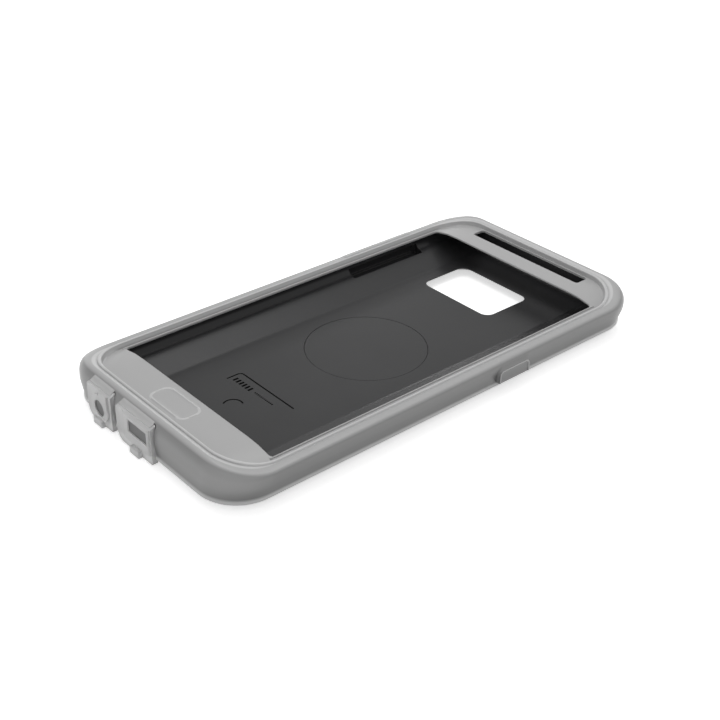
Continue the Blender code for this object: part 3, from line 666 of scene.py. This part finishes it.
def deck_rings(start, end, height):
    """Rings across the thin skin over the glass, between two outlines."""
    rings = []
    for step in range(DECK_STEPS + 1):
        sizes = [a + (b - a) * step / DECK_STEPS for a, b in zip(start, end)]
        rings.append(follow(frame_ring(*sizes), height))
    return rings


frame_rings = [frame_ring(x, y, RIM_CORNER, side, end) for x, y, side, end in outer_rows]
rim_inside = (ridge_x - 1.15 * MM, ridge_y - 1.1 * MM, RIM_CORNER - 0.8 * MM)
opening = (SCREEN_X + SCREEN_EDGE, SCREEN_Y + SCREEN_EDGE, SCREEN_CORNER + SCREEN_EDGE)
frame_rings += deck_rings(rim_inside, opening, deck_height)
tight = (SCREEN_X, SCREEN_Y, SCREEN_CORNER)
for drop in (SCREEN_EDGE, SKIN - SCREEN_EDGE):
    frame_rings.append(follow(frame_ring(*tight), lambda x, drop=drop: deck_height(x) - drop))
bore = (BORE_X, BORE_Y, BORE_CORNER)
frame_rings += deck_rings(opening, bore, lambda x: deck_height(x) - SKIN)
frame_rings.append(frame_ring(*bore, FOOT + GAP, FOOT + GAP))
rain_frame = skin_rings("frosted_frame", frame_rings, closed=True)


def upright_plate(name, outline, start, end, rounding=0.0):
    """A plate with an outline in x and z, between two places along the case."""
    half_x = (max(x for x, z in outline) - min(x for x, z in outline)) / 2
    half_z = (max(z for x, z in outline) - min(z for x, z in outline)) / 2
    mid_x = min(x for x, z in outline) + half_x
    mid_z = min(z for x, z in outline) + half_z
    sections = [(start, 0.0), (end, 0.0)]
    if rounding:
        turns = [math.pi / 2 * step / PLATE_EDGE_STEPS for step in range(PLATE_EDGE_STEPS + 1)]
        bend = [(rounding * (1.0 - math.sin(t)), rounding * (1.0 - math.cos(t))) for t in turns]
        sections = [(start + along, inset) for inset, along in bend]
        sections += [(end - along, inset) for inset, along in reversed(bend)]
    body = bmesh.new()
    rows = []
    for y, inset in sections:
        share_x, share_z = 1.0 - inset / half_x, 1.0 - inset / half_z
        rows.append([body.verts.new((mid_x + (x - mid_x) * share_x, y,
                                     mid_z + (z - mid_z) * share_z)) for x, z in outline])
    count = len(outline)
    for near, far in zip(rows, rows[1:]):
        for i in range(count):
            body.faces.new((near[i], near[(i + 1) % count], far[(i + 1) % count], far[i]))
    body.faces.new(rows[0])
    body.faces.new(rows[-1])
    return finish_mesh(name, body)


joins = []
key_face = SIDE_X + KEY_PROUD
for name, side, (start, end) in (("power_key", 1, POWER_KEY), ("volume_key", -1, VOLUME_KEY)):
    low = FLOOR + KEY_LIFT
    high = DECK - GLASS_DROP + KEY_SHOULDER
    root = BORE_X + KEY_ROOT
    outline = soften([(root, low), (key_face - KEY_ROUNDING, low),
                      (key_face, low + KEY_ROUNDING), (key_face, low + KEY_FACE - KEY_ROUNDING),
                      (key_face - KEY_ROUNDING / 2, low + KEY_FACE),
                      (SIDE_X - KEY_PROUD, high), (root, high)], 0.2, 1)
    joins.append(("UNION", upright_plate(name, [(side * x, z) for x, z in outline], start, end,
                                         KEY_END_ROUNDING)))
joins.append(("DIFFERENCE", slab("speaker", SPEAKER[0] / 2, SPEAKER[1] / 2,
                                 SPEAKER_CORNER, FLOOR, 2 * DECK, (0.0, SPEAKER_Y))))
half_bead = HOME_BEAD / 2
home_section = [(-HOME_ROOT * half_bead, -half_bead), (HOME_ROOT * half_bead, -half_bead),
                (half_bead, 0.0), (half_bead / 2, HOME_CROWN * HOME_LIFT), (0.0, HOME_LIFT),
                (-half_bead / 2, HOME_CROWN * HOME_LIFT), (-half_bead, 0.0)]
path = ring(HOME[0] / 2, HOME[1] / 2, HOME_CORNER, DECK, DECK, (0.0, HOME_Y))
joins.append(("UNION", bead("home_outline", path, home_section, True)))
lip_x = SCREEN_X + SIDE_LIP_BACK + SIDE_LIP_WIDTH / 2
for name, side in (("right_lip", 1), ("left_lip", -1)):
    x = side * lip_x
    lip = [(x, y, deck_height(x)) for y in (-SCREEN_Y - SIDE_LIP_WIDTH, SCREEN_Y + SIDE_LIP_WIDTH)]
    section = round_section(SIDE_LIP_WIDTH / 2, SIDE_LIP_SIDES)
    joins.append(("UNION", bead(name, lip, section, False)))
for name, side, (start, end) in (("power_line", 1, POWER_KEY), ("volume_line", -1, VOLUME_KEY)):
    foot, top = FLOOR + KEY_LIFT, FLOOR + KEY_LIFT + KEY_FACE - KEY_ROUNDING
    turns = [math.pi / 2 * step / KEY_LINE_STEPS for step in range(KEY_LINE_STEPS + 1)]
    corner = KEY_OUTLINE_CORNER
    path = [(start + corner * (1.0 - math.cos(t)) + KEY_INSET,
             top - KEY_INSET - corner * (1.0 - math.sin(t))) for t in turns]
    path += [(start + end - y, z) for y, z in reversed(path)]
    path = [(path[0][0], foot + KEY_ROUNDING)] + path + [(path[-1][0], foot + KEY_ROUNDING)]
    line = [(side * (key_face - KEY_LINE_SINK), y, z) for y, z in path]
    joins.append(("UNION", bead(name, line, round_section(KEY_LINE), False, (side, 0.0, 0.0))))

# Lands for the covers
# Part of the same soft moulding: two shallow recesses in its lower end, in which the
# covers lie, with a hole behind each for its plug.
LAND_DEPTH = 1.3 * MM
LAND_Y = END_Y - LAND_DEPTH
COVER_LIFT = 0.15 * MM
COVER_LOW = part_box("usb_flap")[0].z + COVER_LIFT
COVER_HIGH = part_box("usb_flap")[1].z
COVER_CORNERS = (3.4 * MM, 0.4 * MM, 0.6 * MM, 3.0 * MM)
COVER_CORNER_STEPS = 8
COVER_BACK_Y = LAND_Y + GAP
COVER_THICKNESS = 1.9 * MM
COVER_FRONT_Y = COVER_BACK_Y + COVER_THICKNESS
BLOCK_PROUD = 0.45 * MM
BLOCK_Y = COVER_FRONT_Y + BLOCK_PROUD
USB_SPAN = (-10.6 * MM, 6.8 * MM)
JACK_SPAN = (-25.7 * MM, -13.2 * MM)
USB_PASSAGE_HALF = (5.5 * MM, 2.6 * MM)
JACK_PASSAGE_RADIUS = 3.5 * MM


def plate_outline(span, low, high, radii):
    """Corners of a cover's plate, each with its own rounding."""
    left, right = span
    corners = ((left, low, 180), (right, low, 270), (right, high, 0), (left, high, 90))
    points = []
    for (x, z, start), radius in zip(corners, radii):
        turn_x = x + radius if x == left else x - radius
        turn_z = z + radius if z == low else z - radius
        for step in range(COVER_CORNER_STEPS + 1):
            angle = math.radians(start + 90.0 * step / COVER_CORNER_STEPS)
            points.append((turn_x + radius * math.cos(angle), turn_z + radius * math.sin(angle)))
    return points


for name, span in (("usb", USB_SPAN), ("jack", JACK_SPAN)):
    wide = (span[0] - GAP, span[1] + GAP)
    outline = plate_outline(wide, COVER_LOW - GAP, COVER_HIGH + GAP,
                            [radius + GAP for radius in COVER_CORNERS])
    joins.append(("DIFFERENCE", upright_plate(name + "_land", outline, -OUTSIDE, -LAND_Y)))
wide, high = USB_PASSAGE_HALF
joins.append(("DIFFERENCE", brick("usb_hole", (-wide, -OUTSIDE, SOCKET_HEIGHT - high),
                                  (wide, -CAVITY_Y, SOCKET_HEIGHT + high))))
joins.append(("DIFFERENCE", drum("jack_hole", JACK_PASSAGE_RADIUS, -OUTSIDE, -CAVITY_Y, JACK_X,
                                 SOCKET_HEIGHT)))
work(rain_frame, joins)
SOFT_ANGLE = 40.0
ease(rain_frame, 0.0, SOFT_ANGLE)

# Frosted plastic
# The frame and the covers are in one soft plastic that lets some light through. It looks
# dark where the black shell lies close behind it, and light where it stands free. Painted
# light is added on top: painted top light, painted highlights on the rim bead, the foot
# and the key and home outlines, and painted shade in the hollows of the covers.
NEAR_DEPTH = 1.5 * MM
FAR_DEPTH = 4.2 * MM
ABOVE_SHARE = 1.6
INSIDE_SHARE = 3.0
OUTSIDE_SHARE = 0.6
# Painted top light: how fast the frosted tone grows lighter with height.
TOP_LIGHT_SHARE = 0.13
# Where the painted highlights on the rim bead and on the foot bead start and fade.
BEAD_OVER_RIM = 2.25 * MM
BEAD_FADE = 0.25 * MM
FOOT_FADE = 0.9 * MM
FOOT_TOP = FOOT + 2.1 * MM
FROST_GRAIN_SIZE = 0.5 * MM
FROST_GRAIN_DEPTH = 0.004 * MM
FROST_TONE_SPREAD = 0.04
FROST_IOR = 1.45
MID_GREY = (0.5, 0.5, 0.5)
KEY_LINE_SEEN = 0.03 * MM
HOME_LINE_SEEN = 0.05 * MM


def shell_tone_and_light_group():
    """The tone of frosted plastic: dark where the black shell lies close behind it, and
    light where it stands free of the shell, past the rim and below the foot. It also holds
    painted light: a painted top light that makes the faces lighter towards the top, and a
    painted highlight on the rim bead and on the foot bead, where it also stands in for the
    light that the white table throws up."""
    group = bpy.data.node_groups.new("shell_tone_and_painted_light", "ShaderNodeTree")
    for name, kind, value in (("Backed", "NodeSocketColor", (0.2, 0.2, 0.2, 1.0)),
                              ("Free", "NodeSocketColor", (0.5, 0.5, 0.5, 1.0)),
                              ("Painted Highlight", "NodeSocketColor", (0.8, 0.8, 0.8, 1.0)),
                              ("Near", "NodeSocketFloat", NEAR_DEPTH),
                              ("Far", "NodeSocketFloat", FAR_DEPTH)):
        socket = group.interface.new_socket(name, in_out="INPUT", socket_type=kind)
        socket.default_value = value
    group.interface.new_socket("Color", in_out="OUTPUT", socket_type="NodeSocketColor")
    nodes, links = group.nodes, group.links
    given = nodes.new("NodeGroupInput")
    result = nodes.new("NodeGroupOutput")
    place = nodes.new("ShaderNodeTexCoord")

    def sum_of(operation, first, second=None):
        node = nodes.new("ShaderNodeMath")
        node.operation = operation
        for slot, value in enumerate((first, second)):
            if isinstance(value, (int, float)):
                node.inputs[slot].default_value = value
            elif value is not None:
                links.new(value, node.inputs[slot])
        return node.outputs[0]

    axes = nodes.new("ShaderNodeSeparateXYZ")
    links.new(place.outputs["Object"], axes.inputs[0])
    x = sum_of("ABSOLUTE", axes.outputs["X"])
    y = sum_of("ABSOLUTE", axes.outputs["Y"])
    z = axes.outputs["Z"]
    corner = CAVITY_CORNER + TRAY_WALL
    past_x = sum_of("MAXIMUM", sum_of("SUBTRACT", x, TRAY_X - corner), 0.0)
    past_y = sum_of("MAXIMUM", sum_of("SUBTRACT", y, TRAY_Y - corner), 0.0)
    round_out = sum_of("SQRT", sum_of("ADD", sum_of("POWER", past_x, 2.0),
                                      sum_of("POWER", past_y, 2.0)))
    outward = sum_of("SUBTRACT", round_out, corner)
    inward = sum_of("MULTIPLY", sum_of("SUBTRACT", sum_of("MULTIPLY", outward, -1.0), TRAY_WALL),
                    INSIDE_SHARE)
    outside = sum_of("MAXIMUM", outward, 0.0)
    beside = sum_of("MAXIMUM", sum_of("MULTIPLY", outside, OUTSIDE_SHARE), inward)
    over = sum_of("DIVIDE", sum_of("MAXIMUM", sum_of("SUBTRACT", x, GLASS_FLAT), 0.0),
                  SCREEN_X - GLASS_FLAT)
    drop = sum_of("MULTIPLY", sum_of("POWER", over, 2.0), GLASS_DROP)
    rim = sum_of("SUBTRACT", DECK - SKIN - GAP, drop)
    over_rim = sum_of("SUBTRACT", sum_of("SUBTRACT", z, rim), outside)
    above = sum_of("MULTIPLY", sum_of("MAXIMUM", over_rim, 0.0), ABOVE_SHARE)
    # Painted highlight on the foot: the plastic there stands free of the shell, and it is made lighter
    # still to stand in for light thrown up from the white table.
    below = sum_of("DIVIDE", sum_of("SUBTRACT", FOOT_TOP, z), FOOT_FADE)
    # Painted top light: the plastic grows lighter towards the top.
    rise = sum_of("MULTIPLY", sum_of("SUBTRACT", z, FOOT_TOP), TOP_LIGHT_SHARE)
    # Painted highlight along the rim bead.
    bead_highlight = sum_of("DIVIDE", sum_of("SUBTRACT", over_rim, BEAD_OVER_RIM), BEAD_FADE)
    depth = sum_of("ADD", rise, sum_of("ADD", beside, above))
    share = nodes.new("ShaderNodeMapRange")
    share.interpolation_type = "SMOOTHSTEP"
    links.new(depth, share.inputs["Value"])
    links.new(given.outputs["Near"], share.inputs["From Min"])
    links.new(given.outputs["Far"], share.inputs["From Max"])
    tone = given.outputs["Backed"]
    for amount, lighter in ((share.outputs[0], "Free"), (bead_highlight, "Painted Highlight"), (below, "Painted Highlight")):
        blend = nodes.new("ShaderNodeMix")
        blend.data_type = "RGBA"
        links.new(amount, blend.inputs["Factor"])
        links.new(tone, blend.inputs["A"])
        links.new(given.outputs[lighter], blend.inputs["B"])
        tone = blend.outputs["Result"]
    links.new(tone, result.inputs["Color"])
    return group


SHELL_TONE_AND_LIGHT = shell_tone_and_light_group()


def frosted_plastic(name, backed, free, foot, see_through, roughness):
    """Frosted soft plastic, partly see-through, toned by the shell behind it and by painted light."""
    finish, shader, grain = plastic(name, MID_GREY, roughness, FROST_GRAIN_SIZE,
                                    FROST_GRAIN_DEPTH, FROST_TONE_SPREAD)
    nodes, links = finish.node_tree.nodes, finish.node_tree.links
    tone = nodes.new("ShaderNodeGroup")
    tone.node_tree = SHELL_TONE_AND_LIGHT
    tone.inputs["Backed"].default_value = (backed, backed, backed, 1.0)
    tone.inputs["Free"].default_value = (free, free, free, 1.0)
    # The foot colour is the painted highlight on the foot bead and the rim bead.
    tone.inputs["Painted Highlight"].default_value = (foot, foot, foot, 1.0)
    links.new(tone.outputs["Color"], grain.inputs["Color"])
    shader.inputs["Transmission Weight"].default_value = see_through
    shader.inputs["IOR"].default_value = FROST_IOR
    return finish


frosted = frosted_plastic("frosted_soft_plastic", 0.2, 0.5, 0.68, 0.15, 0.34)
# Painted highlight: a lighter copy of the frosted plastic for the key and home outlines.
outline_highlight_frost = frosted_plastic("frosted_outline_painted_highlight", 0.42, 0.62, 0.62, 0.1, 0.3)
rain_frame.data.materials.clear()
rain_frame.data.materials.append(frosted)
rain_frame.data.materials.append(outline_highlight_frost)
# The faces of the key outlines and the home outline take the painted highlight copy.
for face in rain_frame.data.polygons:
    place = face.center
    on_key = abs(place.x) > key_face + KEY_LINE_SEEN
    on_home = (place.z > DECK + HOME_LINE_SEEN and abs(place.x) < HOME[0] / 2 + HOME_BEAD
               and abs(place.y - HOME_Y) < HOME[1] / 2 + HOME_BEAD)
    if on_key or on_home:
        face.material_index = 1
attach(rain_frame, "case")
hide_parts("rain_frame")

# Socket covers
# Two soft plugs in the same plastic as the frame, each a plate with a thicker block, a
# plug behind it, a hollow in its face and a pull tab at its foot. A thin web carries each
# cover from the rim.
TAB_Y = -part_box("usb_flap")[0].y + CASE_Y
TAB = (4.6 * MM, 2.3 * MM)
TAB_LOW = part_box("usb_flap")[0].z
TAB_SHIFT = -0.4 * MM
BLOCK_EDGE = 0.35 * MM
BLOCK_SINK = 0.4 * MM
ROOT = -COVER_BACK_Y - BLOCK_SINK
RAMP = 1.2 * MM
HOLLOW = 0.35 * MM
HOLLOW_ROUNDING = 0.2 * MM
COVER_EDGE = 0.15 * MM
FACE_WITHIN = 0.02 * MM
FACING_OUT = -0.9
PLUG_REACH = 1.9 * MM
WEB_THICKNESS = 0.26 * MM
WEB_RIM = (79.15 * MM, 12.72 * MM)
WEB_COVER = (81.2 * MM, 11.62 * MM)
WEB_STEPS = 14
WEB_END = 1.0 * MM
USB_BLOCK = 12.4 * MM
USB_BLOCK_LOW = 2.9 * MM
USB_PLUG_HALF = (5.05 * MM, 2.15 * MM)
USB_HOLLOW_HALF = (4.6 * MM, 2.05 * MM)
USB_HOLLOW_SHIFT = (0.7 * MM, 1.1 * MM)
JACK_BLOCK_RADIUS = 4.3 * MM
JACK_BLOCK_DROP = 1.1 * MM
JACK_HEAD_LEFT = 0.2 * MM
JACK_HEAD_PROUD = 0.08 * MM
JACK_PLUG_RADIUS = 3.05 * MM
JACK_HOLLOW_RADIUS = 2.5 * MM


cover_frost = frosted_plastic("frosted_cover_plastic", 0.66, 0.85, 0.85, 0.42, 0.14)
# Painted shade: a near-black copy of the frosted plastic for the floors of the covers' hollows. It
# stands partly for the dark socket behind showing through, and partly for painted shade in the hollow.
recess_shade_frost = frosted_plastic("frosted_recess_painted_shade", 0.12, 0.12, 0.12, 0.0, 0.45)


def hinge_web(name, span):
    """The thin soft strip that carries a cover from the rim."""
    left, right = span
    corners = ((left, 0.0), (right, 0.0), (right, WEB_THICKNESS), (left, WEB_THICKNESS))
    count = len(corners)
    body = bmesh.new()
    rows = []
    for step in range(WEB_STEPS + 1):
        share = step / WEB_STEPS
        out, height = [a + (b - a) * share for a, b in zip(WEB_RIM, WEB_COVER)]
        rows.append([body.verts.new((x, -out, height + rise)) for x, rise in corners])
    for near, far in zip(rows, rows[1:]):
        for k in range(count):
            body.faces.new((near[k], near[(k + 1) % count], far[(k + 1) % count], far[k]))
    body.faces.new(rows[0])
    body.faces.new(rows[-1])
    web = finish_mesh(name, body)
    ease(web, 0.0, SOFT_ANGLE)
    web.data.materials.append(cover_frost)
    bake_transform(web)


def cover(name, span, middle, block_steps):
    """A plate with its tab and block, sloped along its top."""
    outline = plate_outline(span, COVER_LOW, COVER_HIGH + GAP, COVER_CORNERS)
    piece = upright_plate(name, outline, -COVER_FRONT_Y, -COVER_BACK_Y, COVER_EDGE)
    tab = (middle + TAB_SHIFT - TAB[0] / 2, middle + TAB_SHIFT + TAB[0] / 2)
    steps = [("UNION", brick(name + "_tab", (tab[0], -TAB_Y, TAB_LOW),
                             (tab[1], ROOT, TAB_LOW + TAB[1]), BLOCK_EDGE))]
    slope = brick(name + "_slope", (-OUTSIDE, -OUTSIDE, 0.0), (OUTSIDE, OUTSIDE, OUTSIDE))
    lean = Matrix.Rotation(math.atan2(RAMP, BLOCK_Y - COVER_BACK_Y), 4, "X")
    slope.data.transform(Matrix.Translation((0.0, -COVER_BACK_Y, COVER_HIGH)) @ lean)
    work(piece, steps + block_steps + [("DIFFERENCE", slope)])
    ease(piece, 0.0, SOFT_ANGLE)
    piece.data.materials.clear()
    piece.data.materials.append(cover_frost)
    piece.data.materials.append(recess_shade_frost)
    # The floor of the face's hollow takes the painted shade copy.
    for face in piece.data.polygons:
        on_floor = abs(face.center.y + BLOCK_Y - HOLLOW) < FACE_WITHIN
        if on_floor and face.normal.y < FACING_OUT:
            face.material_index = 1
    hinge_web(name + "_web", (span[0] + WEB_END, span[1] - WEB_END))
    return piece


head = COVER_HIGH + GAP / 2
plug_end = PLUG_REACH - COVER_BACK_Y
hollow_x, hollow_z = USB_HOLLOW_SHIFT[0], SOCKET_HEIGHT + USB_HOLLOW_SHIFT[1]
usb_cover = cover("usb_cover", USB_SPAN, 0.0, [
    ("UNION", brick("usb_block", (-USB_BLOCK / 2, -BLOCK_Y, USB_BLOCK_LOW),
                    (USB_BLOCK / 2, ROOT, head), BLOCK_EDGE)),
    ("UNION", brick("usb_plug", (-USB_PLUG_HALF[0], ROOT - BLOCK_SINK, SOCKET_HEIGHT - USB_PLUG_HALF[1]),
                    (USB_PLUG_HALF[0], plug_end, SOCKET_HEIGHT + USB_PLUG_HALF[1]), BLOCK_EDGE)),
    ("DIFFERENCE", brick("usb_hollow", (hollow_x - USB_HOLLOW_HALF[0], -OUTSIDE,
                                        hollow_z - USB_HOLLOW_HALF[1]),
                         (hollow_x + USB_HOLLOW_HALF[0], HOLLOW - BLOCK_Y,
                          hollow_z + USB_HOLLOW_HALF[1]), HOLLOW_ROUNDING)),
])
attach(usb_cover, "usb_cover")
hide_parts("usb_flap")

jack_middle = SOCKET_HEIGHT - JACK_BLOCK_DROP
jack_cover = cover("jack_cover", JACK_SPAN, JACK_X, [
    ("UNION", drum("jack_block", JACK_BLOCK_RADIUS, -BLOCK_Y, ROOT, JACK_X, jack_middle)),
    ("UNION", brick("jack_head", (JACK_X + JACK_HEAD_LEFT, -BLOCK_Y - JACK_HEAD_PROUD, jack_middle),
                    (JACK_X + JACK_BLOCK_RADIUS - JACK_HEAD_PROUD, ROOT, head), BLOCK_EDGE)),
    ("UNION", drum("jack_plug", JACK_PLUG_RADIUS, ROOT - BLOCK_SINK, plug_end, JACK_X,
                   SOCKET_HEIGHT)),
    ("DIFFERENCE", drum("jack_hollow", JACK_HOLLOW_RADIUS, -OUTSIDE, HOLLOW - BLOCK_Y, JACK_X,
                        jack_middle)),
])
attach(jack_cover, "jack_cover")
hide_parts("jack_flap")

# Stage
# A white table and even light from all round, with one large soft lamp high over the
# case and a small one low behind it, which draws thin bright lines along its creases.
TABLE_DROP = 0.02 * MM
TABLE_HALF = 4.0
TABLE_SQUARES = 4
TABLE_WHITE = (0.9, 0.9, 0.9, 1.0)
TABLE_ROUGHNESS = 0.9
TABLE_GLOW = 0.6
SKY_LIGHT = 0.55
WHITE = (1.0, 1.0, 1.0, 1.0)
# Each lamp: name, place, diameter, watts
LAMPS = (("lamp_high", (-0.25, 0.20, 0.90), 0.70, 3.0),
         ("lamp_low", (-0.74, 0.62, 0.29), 0.08, 0.12))


def seen_rays(nodes, links):
    """1 for rays that show the background: straight, mirrored or through glass."""
    path = nodes.new("ShaderNodeLightPath")
    first = nodes.new("ShaderNodeMath")
    first.operation = "MAXIMUM"
    links.new(path.outputs["Is Camera Ray"], first.inputs[0])
    links.new(path.outputs["Is Glossy Ray"], first.inputs[1])
    second = nodes.new("ShaderNodeMath")
    second.operation = "MAXIMUM"
    links.new(first.outputs[0], second.inputs[0])
    links.new(path.outputs["Is Transmission Ray"], second.inputs[1])
    return second.outputs[0]


table_body = bmesh.new()
bmesh.ops.create_grid(table_body, x_segments=TABLE_SQUARES, y_segments=TABLE_SQUARES,
                      size=TABLE_HALF)
table = finish_mesh("table", table_body)
table.location.z = -TABLE_DROP
table_paint = bpy.data.materials.new("white_table")
table_paint.use_nodes = True
nodes, links = table_paint.node_tree.nodes, table_paint.node_tree.links
shader = nodes["Principled BSDF"]
shader.inputs["Base Color"].default_value = TABLE_WHITE
shader.inputs["Roughness"].default_value = TABLE_ROUGHNESS
shader.inputs["Specular IOR Level"].default_value = 0.0
shader.inputs["Emission Color"].default_value = WHITE
glow = nodes.new("ShaderNodeMath")
glow.operation = "MULTIPLY"
glow.inputs[1].default_value = TABLE_GLOW
links.new(seen_rays(nodes, links), glow.inputs[0])
links.new(glow.outputs[0], shader.inputs["Emission Strength"])
table.data.materials.append(table_paint)
table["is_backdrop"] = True

world = bpy.data.worlds.new("studio")
bpy.context.scene.world = world
world.use_nodes = True
nodes, links = world.node_tree.nodes, world.node_tree.links
sky = nodes["Background"]
sky.inputs["Color"].default_value = WHITE
level_mix = nodes.new("ShaderNodeMapRange")
level_mix.inputs["To Min"].default_value = SKY_LIGHT
level_mix.inputs["To Max"].default_value = 1.0
links.new(seen_rays(nodes, links), level_mix.inputs["Value"])
links.new(level_mix.outputs[0], sky.inputs["Strength"])

for name, spot, size, power in LAMPS:
    lamp_data = bpy.data.lights.new(name, "AREA")
    lamp_data.shape = "DISK"
    lamp_data.size = size
    lamp_data.energy = power
    lamp = bpy.data.objects.new(name, lamp_data)
    bpy.context.scene.collection.objects.link(lamp)
    lamp.location = spot
    lamp.rotation_mode = "QUATERNION"
    lamp.rotation_quaternion = (-Vector(spot)).to_track_quat("-Z", "Y")

bpy.context.scene.view_settings.view_transform = "Standard"
low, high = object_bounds()
